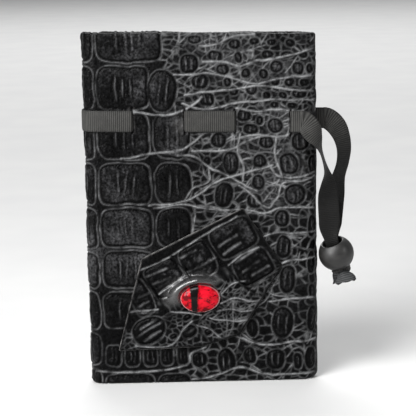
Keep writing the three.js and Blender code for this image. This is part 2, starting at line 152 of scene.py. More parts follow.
CAMERA_AZIMUTH, CAMERA_ELEVATION, CAMERA_ROLL = -0.53, 10.27, -1.08
CAMERA_TARGET = (2.8, 0, 79.7)
CAMERA_DISTANCE = 0.7
CAMERA_LENS = 134.18


def add_camera():
    """The camera that looks at the front from a little above, as in the photograph."""
    azimuth, elevation, roll = np.radians((CAMERA_AZIMUTH, CAMERA_ELEVATION, CAMERA_ROLL))
    back = Vector((
        math.sin(azimuth) * math.cos(elevation),
        -math.cos(azimuth) * math.cos(elevation),
        math.sin(elevation),
    ))
    level = (-back).cross(Vector((0, 0, 1))).normalized()
    upright = level.cross(-back)
    right = level * math.cos(roll) + upright * math.sin(roll)
    up = upright * math.cos(roll) - level * math.sin(roll)
    place = Vector(CAMERA_TARGET) * MM + back * CAMERA_DISTANCE
    data = bpy.data.cameras.new("camera")
    data.sensor_width = 36
    data.lens = CAMERA_LENS
    camera = bpy.data.objects.new("camera", data)
    camera.matrix_world = Matrix.Translation(place) @ Matrix((right, up, back)).transposed().to_4x4()
    bpy.context.scene.collection.objects.link(camera)
    bpy.context.scene.camera = camera


def add_area_light(name, place, aim, size, power):
    data = bpy.data.lights.new(name, "AREA")
    data.shape = "DISK"
    data.size = size
    data.energy = power
    light = bpy.data.objects.new(name, data)
    light.location = place
    light.rotation_euler = (Vector(aim) - Vector(place)).to_track_quat("-Z", "Y").to_euler()
    bpy.context.scene.collection.objects.link(light)


def add_studio():
    """A wide pale floor under soft light from the upper left."""
    bpy.ops.mesh.primitive_circle_add(vertices=96, radius=14, fill_type="NGON")
    floor = bpy.context.object
    floor.name = "floor"
    look = Look("floor", {"Roughness": 0.9, "Specular IOR Level": 0.1})
    tone = look.ramp(look.noise(60, 2), [(0.3, (0.60, 0.60, 0.60)), (0.7, (0.63, 0.63, 0.625))])
    look.feed("Base Color", tone)
    floor.data.materials.append(look.material)
    middle = (0, 0, 0.09)
    add_area_light("key", (-0.9, -0.9, 0.55), middle, 0.8, 22)
    add_area_light("top", (-0.2, -0.36, 0.58), (0, 0, 0.13), 0.3, 3.6)
    add_area_light("fill", (1.1, -0.7, 0.6), middle, 0.2, 2.5)
    add_area_light("rear", (0, 2.2, 2.4), (0, 0.6, 0), 2.4, 75)
    world = bpy.data.worlds.new("studio")
    world.use_nodes = True
    background = world.node_tree.nodes["Background"]
    background.inputs["Color"].default_value = (0.93, 0.94, 0.95, 1)
    background.inputs["Strength"].default_value = 0.3
    bpy.context.scene.world = world
    bpy.context.scene.view_settings.view_transform = "Standard"


# --- Materials ---


class Look:
    """A material and short ways to add nodes to it. Sizes of noise are in millimetres."""

    def __init__(self, name, constants):
        self.material = bpy.data.materials.new(name)
        self.material.use_nodes = True
        self.tree = self.material.node_tree
        self.shader = self.tree.nodes["Principled BSDF"]
        for socket, value in constants.items():
            self.shader.inputs[socket].default_value = value
        self.place = self.tree.nodes.new("ShaderNodeTexCoord").outputs["Object"]

    def connect(self, socket, value):
        if isinstance(value, bpy.types.NodeSocket):
            self.tree.links.new(value, socket)
        else:
            socket.default_value = value

    def node(self, kind, inputs, **settings):
        node = self.tree.nodes.new("ShaderNode" + kind)
        for key, value in settings.items():
            setattr(node, key, value)
        for socket, value in inputs.items():
            self.connect(node.inputs[socket], value)
        return node

    def feed(self, socket, value):
        self.connect(self.shader.inputs[socket], value)

    def attribute(self, name):
        return self.node("Attribute", {}, attribute_name=name).outputs["Fac"]

    def stretched(self, scale):
        mapping = self.node("Mapping", {"Vector": self.place, "Scale": scale})
        return mapping.outputs["Vector"]

    def noise(self, size, detail=3, place=None):
        inputs = {"Vector": place or self.place, "Scale": 1 / (size * MM), "Detail": detail}
        return self.node("TexNoise", inputs).outputs["Fac"]

    def pebbles(self, size):
        inputs = {"Vector": self.place, "Scale": 1 / (size * MM)}
        return self.node("TexVoronoi", inputs, feature="SMOOTH_F1").outputs["Distance"]

    def yarns(self, scale, direction):
        inputs = {"Vector": self.place, "Scale": scale}
        return self.node("TexWave", inputs, bands_direction=direction).outputs["Fac"]

    def math(self, operation, a, b=0.0, clamp=False):
        return self.node("Math", {0: a, 1: b}, operation=operation, use_clamp=clamp).outputs[0]

    def span(self, value, low, high, to_low=0.0, to_high=1.0):
        inputs = {"Value": value, "From Min": low, "From Max": high, "To Min": to_low, "To Max": to_high}
        return self.node("MapRange", inputs).outputs["Result"]

    def ramp(self, value, stops):
        node = self.node("ValToRGB", {"Fac": value})
        elements = node.color_ramp.elements
        while len(elements) < len(stops):
            elements.new(0.5)
        for element, (position, colour) in zip(elements, stops):
            element.position = position
            element.color = (*colour, 1)
        return node.outputs["Color"]

    def mix(self, share, a, b):
        node = self.node("Mix", {}, data_type="RGBA")
        for socket, value in ((0, share), (6, a), (7, b)):
            if isinstance(value, tuple):
                value = (*value, 1)
            self.connect(node.inputs[socket], value)
        return node.outputs[2]

    def bump(self, height, depth, under=None):
        inputs = {"Height": height, "Distance": depth * MM}
        if under:
            inputs["Normal"] = under
        return self.node("Bump", inputs).outputs["Normal"]


def leather_look():
    """Black embossed leather: grooves painted darker as shade, veins and ridges painted lighter, partly as a
    rubbed finish and partly as painted highlight, fine pebbled grain.
    """
    look = Look("leather", {"Specular IOR Level": 0.06, "Coat Roughness": 0.27, "Coat IOR": 1.9})
    rise = look.attribute("rise")
    vein = look.attribute("vein")
    rub_and_highlight = look.attribute("rub_and_highlight")
    # The colour follows the relief: darker in the grooves, a painted shade, and lighter on the crests,
    # partly worn finish and partly painted highlight.
    groove, ground, crest = (0.0008, 0.0008, 0.0009), (0.0035, 0.0035, 0.0037), (0.024, 0.024, 0.025)
    hide = look.ramp(rise, [(0.25, groove), (0.55, ground), (1.0, crest)])
    mottle = look.span(look.noise(9, 4), 0.35, 0.65, 0.5, 1.5)
    speckle = look.span(look.noise(1.1, 3), 0.38, 0.62, 0.35, 1.7)
    uneven = look.math("MULTIPLY", mottle, speckle)
    hide = look.node("VectorMath", {0: hide, "Scale": uneven}, operation="SCALE").outputs[0]
    breakup = look.span(look.noise(3.5, 5), 0.32, 0.6, 0.15, 1.0)
    # Veins and rubbed places are lightened: partly rubbed finish, partly painted highlight standing in for
    # their glints.
    hide = look.mix(look.math("MULTIPLY", vein, breakup, clamp=True), hide, (0.30, 0.303, 0.308))
    hide = look.mix(look.math("MULTIPLY", rub_and_highlight, breakup, clamp=True), hide, (0.17, 0.165, 0.16))
    look.feed("Base Color", hide)
    look.feed("Coat Weight", look.attribute("gloss"))
    look.feed("Roughness", look.span(look.noise(2.2, 4), 0.3, 0.7, 0.27, 0.46))
    fine = look.bump(look.noise(0.5, 3), 0.06)
    grain = look.bump(look.pebbles(0.95), 0.22, fine)
    look.feed("Normal", look.bump(look.noise(1.8, 3), 0.34, grain))
    return look.material


def lining_look():
    """Plain black woven cotton."""
    look = Look("lining", {"Roughness": 0.9, "Sheen Weight": 0.25, "Specular IOR Level": 0.2})
    weave = look.math("MULTIPLY", look.yarns(500, "Z"), look.yarns(500, "X"))
    tone = look.math("MULTIPLY", weave, look.noise(12, 3))
    look.feed("Base Color", look.ramp(tone, [(0.0, (0.006, 0.006, 0.007)), (1.0, (0.03, 0.03, 0.032))]))
    look.feed("Normal", look.bump(weave, 0.05))
    return look.material


def ribbon_look(name, dark, light):
    """Grosgrain: ribs catch the light, the gaps between them stay dark."""
    look = Look(name, {"Specular IOR Level": 0.15, "Sheen Weight": 0.05, "Sheen Roughness": 0.4})
    rib = look.attribute("rib")
    tone = look.math("MULTIPLY", rib, look.span(look.noise(3, 4), 0.3, 0.7, 0.7, 1.0))
    look.feed("Base Color", look.mix(tone, dark, light))
    look.feed("Roughness", look.span(look.noise(0.6, 3), 0.3, 0.7, 0.5, 0.72))
    look.feed("Normal", look.bump(look.yarns(900, "Z"), 0.02, look.bump(look.noise(0.2, 2), 0.03)))
    return look.material


def bead_look():
    """Wood under a black satin stain, its grain just showing."""
    look = Look("bead", {"Specular IOR Level": 0.6, "Coat Weight": 0.05, "Coat Roughness": 0.25})
    grain = look.noise(1.6, 5, look.stretched((0.25, 1, 1)))
    stain = look.ramp(grain, [(0.35, (0.003, 0.003, 0.003)), (0.7, (0.014, 0.013, 0.012))])
    look.feed("Base Color", stain)
    look.feed("Roughness", look.span(look.noise(3, 3), 0.3, 0.7, 0.44, 0.54))
    look.feed("Normal", look.bump(grain, 0.03, look.bump(look.noise(0.25, 2), 0.01)))
    return look.material


def iris_look(name, constants):
    """Red iris with darker veins round a black slit, read from the eye's own attributes."""
    look = Look(name, constants)
    blotch = look.noise(3.2, 4)
    thread = look.noise(1.1, 5, look.stretched((0.45, 1, 1)))
    dark, mid, bright = (0.10, 0.001, 0.003), (0.42, 0.003, 0.010), (0.56, 0.006, 0.019)
    red = look.ramp(blotch, [(0.38, dark), (0.48, mid), (0.6, bright)])
    red = look.mix(look.span(thread, 0.54, 0.62), red, (0.10, 0.002, 0.006))
    # The pale rim is a painted highlight, where the glass edge catches the light.
    red = look.mix(look.attribute("pale"), red, (0.62, 0.42, 0.42))
    look.feed("Base Color", look.mix(look.attribute("pupil"), red, (0.004, 0.003, 0.003)))
    return look.material


def thread_look():
    """Black polyester."""
    look = Look("thread", {"Roughness": 0.7, "Specular IOR Level": 0.3})
    tone = look.ramp(look.noise(0.8, 3), [(0.3, (0.006, 0.006, 0.006)), (0.7, (0.02, 0.02, 0.021))])
    look.feed("Base Color", tone)
    look.feed("Normal", look.bump(look.noise(0.15, 3), 0.04))
    return look.material


# --- Mesh helpers ---


def between_four(table, low, high, left, right, across, up):
    """The value between four entries of a table, by the shares across and up."""
    bottom = table[low, left] * (1 - across) + table[low, right] * across
    top = table[high, left] * (1 - across) + table[high, right] * across
    return bottom * (1 - up) + top * up


def noise(x, z, cell, seed):
    """A smooth random field from -1 to 1 whose bumps are about a cell wide."""
    size = 64
    table = np.random.default_rng(seed).uniform(-1, 1, (size, size))
    column, row = np.floor(x / cell).astype(int), np.floor(z / cell).astype(int)
    across, up = smoothstep(x / cell - column, 0, 1), smoothstep(z / cell - row, 0, 1)
    return between_four(table, row % size, (row + 1) % size, column % size, (column + 1) % size, across, up)


def grid_faces(rows, columns, wrap_rows=False, wrap_columns=False):
    """Quads that join a grid of points, row by row."""
    index = np.arange(rows * columns).reshape(rows, columns)
    if wrap_columns:
        index = np.hstack([index, index[:, :1]])
    if wrap_rows:
        index = np.vstack([index, index[:1]])
    corners = (index[:-1, :-1], index[:-1, 1:], index[1:, 1:], index[1:, :-1])
    return np.stack(corners, -1).reshape(-1, 4).tolist()


def add_mesh(name, points, faces, material, values=None, merge=False):
    """A smooth object from points in millimetres, its faces turned outwards."""
    data = bpy.data.meshes.new(name)
    data.from_pydata((np.asarray(points).reshape(-1, 3) * MM).tolist(), [], faces)
    for key, numbers in (values or {}).items():
        attribute = data.attributes.new(key, "FLOAT", "POINT")
        attribute.data.foreach_set("value", np.asarray(numbers, np.float32).ravel())
    tidy = bmesh.new()
    tidy.from_mesh(data)
    if merge:
        bmesh.ops.remove_doubles(tidy, verts=tidy.verts, dist=1e-7)
    bmesh.ops.recalc_face_normals(tidy, faces=tidy.faces)
    tidy.to_mesh(data)
    tidy.free()
    data.shade_smooth()
    data.materials.append(material)
    thing = bpy.data.objects.new(name, data)
    bpy.context.scene.collection.objects.link(thing)
    return thing


def smooth_route(points, step):
    """Centripetal Catmull-Rom through points, at even steps. Columns past the third follow."""
    points = np.asarray(points, float)
    ends = (2 * points[0] - points[1], 2 * points[-1] - points[-2])
    knots = np.vstack([ends[0], points, ends[1]])
    gaps = np.sqrt(np.linalg.norm(np.diff(knots[:, :3], axis=0), axis=1)) + 1e-9
    times = np.concatenate([[0], np.cumsum(gaps)])
    dense = []
    for first in range(len(knots) - 3):
        t0, t1, t2, t3 = times[first:first + 4]
        p0, p1, p2, p3 = knots[first:first + 4]
        t = np.linspace(t1, t2, 40, endpoint=first == len(knots) - 4)[:, None]
        a1 = ((t1 - t) * p0 + (t - t0) * p1) / (t1 - t0)
        a2 = ((t2 - t) * p1 + (t - t1) * p2) / (t2 - t1)
        a3 = ((t3 - t) * p2 + (t - t2) * p3) / (t3 - t2)
        b1 = ((t2 - t) * a1 + (t - t0) * a2) / (t2 - t0)
        b2 = ((t3 - t) * a2 + (t - t1) * a3) / (t3 - t1)
        dense.append(((t2 - t) * b1 + (t - t1) * b2) / (t2 - t1))
    dense = np.vstack(dense)
    along = np.concatenate([[0], np.cumsum(np.linalg.norm(np.diff(dense[:, :3], axis=0), axis=1))])
    places = np.linspace(0, along[-1], max(2, int(round(along[-1] / step)) + 1))
    return np.stack([np.interp(places, along, column) for column in dense.T], axis=1)


# --- Embossed pattern: scales, the net of veins between them, and long flowing veins ---

Scale = namedtuple("Scale", "x z half_width half_height turn power ridges")


class Raster:
    """A rectangle of the hide, laid flat, on which its relief is worked out."""

    def __init__(self, x_low, x_high, z_low, z_high, pitch=0.25):
        self.pitch = pitch
        self.x = np.arange(x_low, x_high, pitch)
        self.z = np.arange(z_low, z_high, pitch)
        self.shape = (self.z.size, self.x.size)

    def window(self, x, z, reach):
        """The part within reach of a point: its index, and how far it lies across and up."""
        columns = slice(*np.searchsorted(self.x, (x - reach, x + reach)))
        rows = slice(*np.searchsorted(self.z, (z - reach, z + reach)))
        return (rows, columns), self.x[columns][None, :] - x, self.z[rows][:, None] - z

    def sample(self, values, x, z):
        across = np.clip((x - self.x[0]) / self.pitch, 0, self.x.size - 1.001)
        up = np.clip((z - self.z[0]) / self.pitch, 0, self.z.size - 1.001)
        column, row = across.astype(int), up.astype(int)
        return between_four(values, row, row + 1, column, column + 1, across - column, up - row)


def scale_frame(scale, dx, dz):
    """How far a point lies across and up a scale, in the scale's own directions."""
    cosine, sine = math.cos(scale.turn), math.sin(scale.turn)
    return dx * cosine + dz * sine, dz * cosine - dx * sine


def scale_share(scale, dx, dz):
    """0 at a scale's middle and 1 on its outline, and how fast that grows per millimetre."""
    across, up = scale_frame(scale, dx, dz)
    a, b, p = np.abs(across) / scale.half_width, np.abs(up) / scale.half_height, scale.power
    share = (a**p + b**p) ** (1 / p) + 1e-6
    growth = np.hypot(a ** (p - 1) / scale.half_width, b ** (p - 1) / scale.half_height)
    return share, share ** (1 - p) * growth + 1e-3


def cell_borders(raster, scales):
    """How far each point lies from the border between the two scales nearest to it."""
    first, second = np.full(raster.shape, 50.0), np.full(raster.shape, 50.0)
    first_slope, second_slope = np.ones(raster.shape), np.ones(raster.shape)
    for scale in scales:
        place, dx, dz = raster.window(scale.x, scale.z, 1.7 * scale.half_width + 4)
        share, slope = scale_share(scale, dx, dz)
        closer = share < first[place]
        between = ~closer & (share < second[place])
        second_slope[place] = np.select(
            [closer, between], [first_slope[place], slope], second_slope[place]
        )
        second[place] = np.select([closer, between], [first[place], share], second[place])
        first_slope[place] = np.where(closer, slope, first_slope[place])
        first[place] = np.where(closer, share, first[place])
    border = (second - first) / (first_slope + second_slope)
    return np.where(second > 20, 8, np.clip(border, 0, 8))


def depth_within(raster, scales):
    """How far inside a big scale each point lies, negative outside, and which scale that is."""
    inside, owner = np.full(raster.shape, -50.0), np.zeros(raster.shape, int)
    for number, scale in enumerate(scales):
        reach = 1.3 * max(scale.half_width, scale.half_height) + 4
        place, dx, dz = raster.window(scale.x, scale.z, reach)
        share, slope = scale_share(scale, dx, dz)
        depth = (1 - share) / slope
        owner[place] = np.where(depth > inside[place], number, owner[place])
        inside[place] = np.maximum(inside[place], depth)
    return inside, owner


def ridge_map(raster, scales, owner, rng):
    """Wrinkles that run up the middle of each big scale, with a groove beside each."""
    height = np.zeros(raster.shape)
    for number, scale in enumerate(scales):
        if scale.ridges == 0:
            continue
        reach = 1.5 * max(scale.half_width, scale.half_height)
        place, dx, dz = raster.window(scale.x, scale.z, reach)
        across, up = scale_frame(scale, dx, dz)
        up = up / scale.half_height
        wrinkle = np.zeros(np.broadcast(across, up).shape)
        gap = min(1.15 * scale.half_width / scale.ridges, 3.6)
        for ridge in range(scale.ridges):
            middle = gap * (ridge - (scale.ridges - 1) / 2 + rng.uniform(-0.15, 0.15))
            lean, bow = rng.uniform(-0.5, 0.5), rng.uniform(-0.9, 0.9)
            width = rng.uniform(0.38, 0.6) * min(1, scale.half_width / 4)
            tip, tail = rng.uniform(0.55, 0.85), rng.uniform(0.6, 0.9)
            fade = smoothstep(up, -tail, -0.3 * tail) * (1 - smoothstep(up, 0.3 * tip, tip))
            off = across - middle - lean * up - bow * (up**2 - 0.3)
            strength = rng.uniform(0.6, 1.15) * min(1, scale.half_width / 3)
            wrinkle += strength * fade * (0.85 * bell(off, width) - 0.5 * bell(off, 2.3 * width))
        height[place] += np.where(owner[place] == number, wrinkle, 0)
    return height


def line_distance(raster, lines, reach=2.4):
    """Distance to the nearest of some smooth lines, each through its own points."""
    nearest = np.full(raster.shape, 99.0)
    for points in lines:
        route = smooth_route([(x, z, 0) for x, z in points], 1.0)[:, :2]
        for start, end in zip(route[:-1], route[1:]):
            place, dx, dz = raster.window(*start, reach)
            run = end - start
            share = np.clip((dx * run[0] + dz * run[1]) / (run @ run), 0, 1)
            distance = np.hypot(dx - share * run[0], dz - share * run[1])
            nearest[place] = np.minimum(nearest[place], distance)
    return nearest


def gap_to(scale, x, z):
    """How far a point lies outside a scale."""
    share, slope = scale_share(scale, x - scale.x, z - scale.z)
    return (share - 1) / slope


def fill_between(big, x_range, z_range, cell, rng, size_at=lambda z: 1.0):
    """Small scales, jittered on a grid of cells, wherever no big scale lies."""
    small = []
    z = z_range[0]
    while z < z_range[1]:
        x = x_range[0]
        while x < x_range[1]:
            size = cell * size_at(z)
            spot_x, spot_z = x + rng.uniform(-0.38, 0.38) * size, z + rng.uniform(-0.38, 0.38) * size
            half = 0.55 * size * rng.uniform(0.75, 1.2)
            flat, turn = rng.uniform(0.7, 0.95), rng.uniform(-0.7, 0.7)
            if all(gap_to(scale, spot_x, spot_z) >= 0.45 * half for scale in big):
                small.append(Scale(spot_x, spot_z, half, half * flat, turn, 2.2, 0))
            x += size
        z += cell * 0.8 * size_at(z)
    return small


def crossing_lines(x_range, z_range, count, rng):
    """Fine lines that wander up to one side across the small scales."""
    lines = []
    for _ in range(count):
        x, z = rng.uniform(*x_range), rng.uniform(*z_range)
        heading = rng.choice([50, 62, 38, -25]) + rng.uniform(-9, 9)
        points = [(x, z)]
        for _ in range(rng.integers(3, 6)):
            step = rng.uniform(3.5, 5.5)
            heading += rng.uniform(-24, 24)
            x += step * math.cos(math.radians(heading))
            z += step * math.sin(math.radians(heading))
            points.append((x, z))
        lines.append(points)
    return lines


def emboss(raster, big, small, veins, fine_lines, rng):
    """The relief of a hide in millimetres, and how much of a vein each point is, 0 to 1."""
    inside, owner = depth_within(raster, big)
    border = np.where(inside > 0, inside, np.minimum(cell_borders(raster, small), -inside))
    within = smoothstep(inside, 0, 0.5)
    tile = smoothstep(np.array([scale.power for scale in big])[owner], 2.8, 3.4) * within
    x, z = np.meshgrid(raster.x, raster.z)
    uneven = 0.72 + 0.28 * noise(x, z, 2.3, SEED + 1)
    patchy = 0.62 + 0.38 * noise(x, z, 5.5, SEED + 19)
    vein = bell(border, 0.24 + 0.06 * within) * uneven * (patchy + (1 - patchy) * within)
    moat = bell(border - 0.95, 0.36) * within
    dome = smoothstep(border, 0.6, 2.4) * within
    pebble = smoothstep(border, 0.25, 0.9) * (1 - within)
    wrinkles = ridge_map(raster, big, owner, rng)
    pits = noise(x, z, 0.9, SEED + 2) * 0.6 + noise(x, z, 1.6, SEED + 3)
    height = 0.36 * vein - 0.30 * moat + 0.26 * dome + 0.08 * pebble - 0.22 + wrinkles
    height += pits * (0.07 + 0.06 * tile) * smoothstep(border, 0.5, 1.6)
    long_vein = bell(line_distance(raster, veins), 0.36) * (0.8 + 0.2 * noise(x, z, 5, SEED + 4))
    height = height * (1 - 0.7 * long_vein) + 0.34 * long_vein
    fine = bell(line_distance(raster, fine_lines, 1.5), 0.26) * (1 - within)
    fine = fine * (0.6 + 0.4 * noise(x, z, 4, SEED + 25))
    height += 0.2 * fine * (1 - long_vein)
    # Wrinkle crests join the vein mask, which lightens the colour there: partly worn finish, partly painted
    # highlight.
    crest = smoothstep(wrinkles, 0.1, 0.55) * (0.55 + 0.45 * noise(x, z, 3, SEED + 18))
    return height, np.maximum.reduce([0.55 * vein, 0.95 * long_vein, 0.72 * fine, 0.5 * crest])


# Rows of big tiles down the left of the front: the grooves between the rows.
ROW_Z = (-11, 7.5, 24.9, 43.9, 62.4, 82.0, 102.2, 124.6, 145.4, 168)
COLUMN_X = (-46.2, -21.6, -3.5)
TILE_GROOVE = 0.65

# Scales of the front that stand on their own: x, z, width, height, wrinkles.
OVALS = (
    (-16.4, 133.6, 13.2, 19.5, 2), (-2, 156.3, 6.6, 4.9, 1), (16, 153.5, 5.8, 4.9, 1),
    (7.3, 149, 7.4, 5.8, 2), (17.2, 148, 4.1, 4.9, 1), (-4.5, 145.3, 9, 9, 2),
    (10.4, 143.3, 5.8, 5.8, 1), (20.4, 141.1, 4.9, 4.9, 1), (28.5, 141, 4.9, 4.9, 1),
    (34.2, 144.4, 6.4, 5.8, 1), (43.8, 143.4, 6.4, 6.4, 1), (49.5, 143.4, 4, 5, 1),
    (30.6, 149.4, 6, 4.1, 1), (38.6, 149.6, 5.8, 4.1, 1), (45.9, 149.5, 4.9, 3.6, 1),
    (24.6, 155.1, 4.9, 3.7, 1), (32.3, 154.9, 4.9, 3.5, 1), (40, 155, 5, 4, 1),
    (0.4, 137.4, 8.2, 7.4, 2), (12.3, 137.3, 4.1, 4.9, 1), (15.1, 133.2, 4.9, 4.9, 1),
    (22.8, 134.2, 5.8, 5.8, 1), (29.6, 131.5, 4.1, 4.1, 1), (33.7, 137.7, 4.9, 4.1, 1),
    (40.1, 137.5, 4.9, 4.1, 1), (46.6, 137.4, 4.9, 4.1, 1), (3, 130.1, 7.4, 6.6, 2),
    (36.8, 131.6, 4.9, 4.1, 1), (44.1, 132, 7, 4.9, 2), (40.8, 127, 4.9, 3.3, 1),
    (33, 126.8, 4.5, 3.6, 1), (24, 128.6, 4.5, 3.8, 1), (19.8, 122.5, 6.6, 5.8, 1),
    (26.6, 120.4, 4.1, 4.9, 1), (22.5, 116.2, 7.4, 5.8, 1), (33.5, 118, 7.4, 7.4, 2),
    (8.3, 111.3, 7.4, 7.4, 2), (29.3, 110.4, 7.4, 6.4, 2), (44.6, 110.5, 9, 9, 2),
    (13.6, 101.2, 8.2, 10.7, 2), (26.4, 102.2, 6.6, 6.6, 1), (39.3, 100.6, 9, 10.4, 2),
    (2.7, 102.2, 4.1, 4.1, 1), (9.9, 86.8, 9, 12.3, 2), (25.8, 92.2, 6.4, 7.8, 1),
    (23.7, 83.6, 7.4, 7.2, 2), (41.7, 86.8, 9.6, 10.7, 2), (36, 75.6, 7.4, 8.4, 2),
    (49.8, 71.7, 5, 10.7, 1), (36.6, 62.5, 7.4, 11.2, 2), (38.3, 47.4, 8, 13.6, 2),
    (49.6, 55, 5, 11.5, 1), (36, 27.4, 10.7, 15.4, 2), (22.1, 25.1, 5.8, 9, 1),
    (49.6, 28.7, 5.6, 12.3, 1), (10.2, 9.6, 8.6, 12.6, 2), (20.7, 12.2, 6.4, 8.4, 1),
    (32.3, 10, 9, 10.6, 2), (48.4, 10.6, 6.4, 11.2, 1), (-2, 10.6, 8, 8.4, 2),
    (50, 100, 4.5, 9, 1), (49.5, 41, 4.6, 8, 1), (42.2, 9, 4.8, 8, 1),
)

# Long veins that flow across the front, each through a few points.
VEINS = (
    ((-11.3, 141.1), (-2.5, 140.6), (6.4, 141.2), (16, 138.8), (24, 136.6), (33.7, 138.9), (50, 140.4)),
    ((-6.7, 131.6), (1.4, 132.9), (13.5, 134), (25.6, 135.9), (41.7, 134.3), (51, 133.1)),
    ((-7.6, 128), (1.2, 125.8), (13.4, 127.5), (25.5, 128.9), (37.6, 129.5), (51, 128.8)),
    ((-30.2, 124.8), (-16.6, 122.6), (-7.7, 124.7), (-2.7, 128.3), (0.5, 131)),
    ((15.8, 125.6), (25.4, 124.4), (36, 125.1), (50, 123.6)),
    ((17.2, 112.4), (25.3, 113.6), (37.5, 113.2), (40.7, 115.2)),
    ((-35.7, 103.3), (-23.5, 105.4), (-10.5, 106.8), (-3.9, 110), (2.7, 115.2)),
    ((-10.5, 105), (-4, 104.3), (4, 99.2), (13.7, 94.9), (19.3, 91), (25, 88)),
    ((-24.1, 82.8), (-11, 83.4), (-1.1, 86.9), (4.9, 92), (13.7, 95.4), (22.7, 97.6), (32, 100.3)),
    ((-4, 106.7), (5.7, 106.5), (13.1, 107.2), (19.6, 110.3), (30.2, 114)),
    ((-21.6, 81.5), (-7.8, 82.5), (0.4, 80.9), (10.2, 79.8), (16.7, 80.2), (21.7, 79.4)),
    ((21.6, 79.4), (28.1, 78), (35.5, 80.6), (51, 80)),
    ((16.9, 90.7), (20.7, 88), (29.8, 80.5), (33.9, 86.2), (36.6, 92.2), (45.4, 93), (51.1, 94.9)),
    ((26.4, 67.2), (32.9, 69), (41.1, 68.9), (51.5, 69.2)),
    ((32.8, 53.6), (37, 55.6), (51.7, 57.5)),
    ((30.1, 37.5), (40.9, 38.6), (51.6, 38.2)),
    ((14.2, 21.8), (24.9, 17.6), (40.7, 18.2), (51.5, 19.3)),
    ((-50.1, 5.6), (-30.2, 5.9), (-16, 6.4), (-7.3, 9), (-6.2, 13.5), (0.8, 17)),
    ((0.2, 153.2), (6.6, 154), (16.3, 157.2), (24.3, 157.9)),
    ((1.6, 146.3), (9.7, 146.9), (17.7, 144.6), (25.7, 146.7), (33.8, 147.9), (51, 152.4)),
    ((-6.2, 1.1), (4.8, 3.2), (15.6, 6.3), (20.6, 5.5), (26.2, 3.4), (38, 2.8), (50.6, 3.8)),
    ((30, 101.1), (33.4, 96), (39.7, 94.3), (51, 96.6)),
    ((3.2, 99.2), (3.3, 93.5), (-4.3, 89.5), (-7.7, 84.6)),
    ((17.7, 114.2), (16.5, 106.5), (19.6, 99.2), (18.7, 93)),
    ((33.8, 112.6), (33.2, 105), (36, 95)),
)

# Scales of the back where the front has its patch.
BACK_OVALS = (
    (3.5, 70.5, 8.5, 11, 2), (14.5, 74, 5.5, 8, 1), (21, 64, 8, 11, 2), (10.5, 58, 7.5, 11, 2),
    (25.5, 50, 7, 10.5, 2), (2, 48, 8, 12, 2), (14, 43, 8, 12, 2), (24.5, 37, 6.5, 9, 1),
    (3.5, 29, 8.5, 13, 2), (13, 26.5, 6.5, 10, 1),
)


def tile_between(x_low, x_high, z_low, z_high, ridges, power=5.0):
    """A tile that fills a rectangle but for the groove round it."""
    middle = ((x_low + x_high) / 2, (z_low + z_high) / 2)
    half_width, half_height = (x_high - x_low) / 2 - TILE_GROOVE, (z_high - z_low) / 2 - TILE_GROOVE
    return Scale(*middle, half_width, half_height, 0, power, ridges)


def panel_scales(rng, patched):
    """The big scales of one panel, without the ones on the fold. The patch hides some."""
    big = []
    for low, high in zip(ROW_Z[:-1], ROW_Z[1:]):
        if low >= 140:
            big.append(tile_between(COLUMN_X[0], -15.5, low, high, 4))
            continue
        if low > 20:
            big.append(tile_between(COLUMN_X[0], COLUMN_X[1], low, high, rng.integers(2, 4)))
        if (60 if patched else 20) < low < 120:
            big.append(tile_between(COLUMN_X[1], COLUMN_X[2], low, high, 2, 3.0))
    for low_x, high_x in ((-46, -37), (-37, -28.5), (-28.5, -20.5), (-20.5, -13), (-13, -6.5)):
        big.append(tile_between(low_x, high_x, ROW_Z[1], ROW_Z[2] - 6, 2, 3.5))
    big.append(tile_between(COLUMN_X[0], -22, -9, ROW_Z[1] - 1.5, 0, 4))
    big.append(tile_between(-22, -6, -9, ROW_Z[1] - 2.5, 0, 4))
    for x, z, width, height, ridges in OVALS + (() if patched else BACK_OVALS):
        big.append(Scale(x, z, width / 2, height / 2, rng.uniform(-0.12, 0.12), 2.3, ridges))
    return big


# Distance round the bag's plan, equal to x on the flat front: FOLD_U at the fold's tip. Past it,
# the hide goes on over the back, which mirrors the front.
FOLD_U = FOLD_X - HALF_DEPTH * math.pi / 2
HIDE_END = 60


def mirrored(lines, lift=0):
    return [[(2 * FOLD_U - x, z + lift) for x, z in points] for points in lines]


def hide_relief():
    """The whole hide: the front from the fold to the seam, and the back beyond the fold."""
    rng = np.random.default_rng(SEED)
    front = panel_scales(rng, True)
    back = []
    for scale in panel_scales(rng, False):
        shift_x, shift_z = (rng.uniform(-1.2, 1.2) if scale.power < 2.5 else 0 for _ in range(2))
        back.append(scale._replace(x=2 * FOLD_U - scale.x + shift_x, z=scale.z + shift_z, turn=-scale.turn))
    reach = FOLD_U - COLUMN_X[0]
    fold = [tile_between(FOLD_U + reach, FOLD_U - reach, *row, 3) for row in zip(ROW_Z[:-1], ROW_Z[1:])]
    big = front + fold + back

    def size_at(z):
        return 0.85 + 0.4 * float(smoothstep(-z, -135.0, -60.0))

    small = fill_between(big, (-16, HIDE_END), (-9, 176), 3.3, rng, size_at)
    small += fill_between(big, (2 * FOLD_U - HIDE_END, 2 * FOLD_U + 16), (-9, 176), 3.3, rng, size_at)
    raster = Raster(2 * FOLD_U - HIDE_END, HIDE_END, -11, 178)
    lines = crossing_lines((-12, 50), (-4, 158), 130, rng)
    lines += mirrored(crossing_lines((-12, 50), (-4, 158), 130, rng))
    return raster, *emboss(raster, big, small, list(VEINS) + mirrored(VEINS, 1.5), lines, rng)


# --- The bag's leather and lining ---

# Distance round the quarter ellipse by which the bag tapers to its seam, at even angles.
SEAM_ANGLE = np.linspace(0, np.pi / 2, 400)
ARC_STEPS = np.hypot(np.diff(SEAM_TAPER * np.sin(SEAM_ANGLE)), np.diff(HALF_DEPTH * np.cos(SEAM_ANGLE)))
SEAM_ARC = SEAM_X + np.concatenate([[0], np.cumsum(ARC_STEPS)])
SEAM_U = SEAM_ARC[-1]


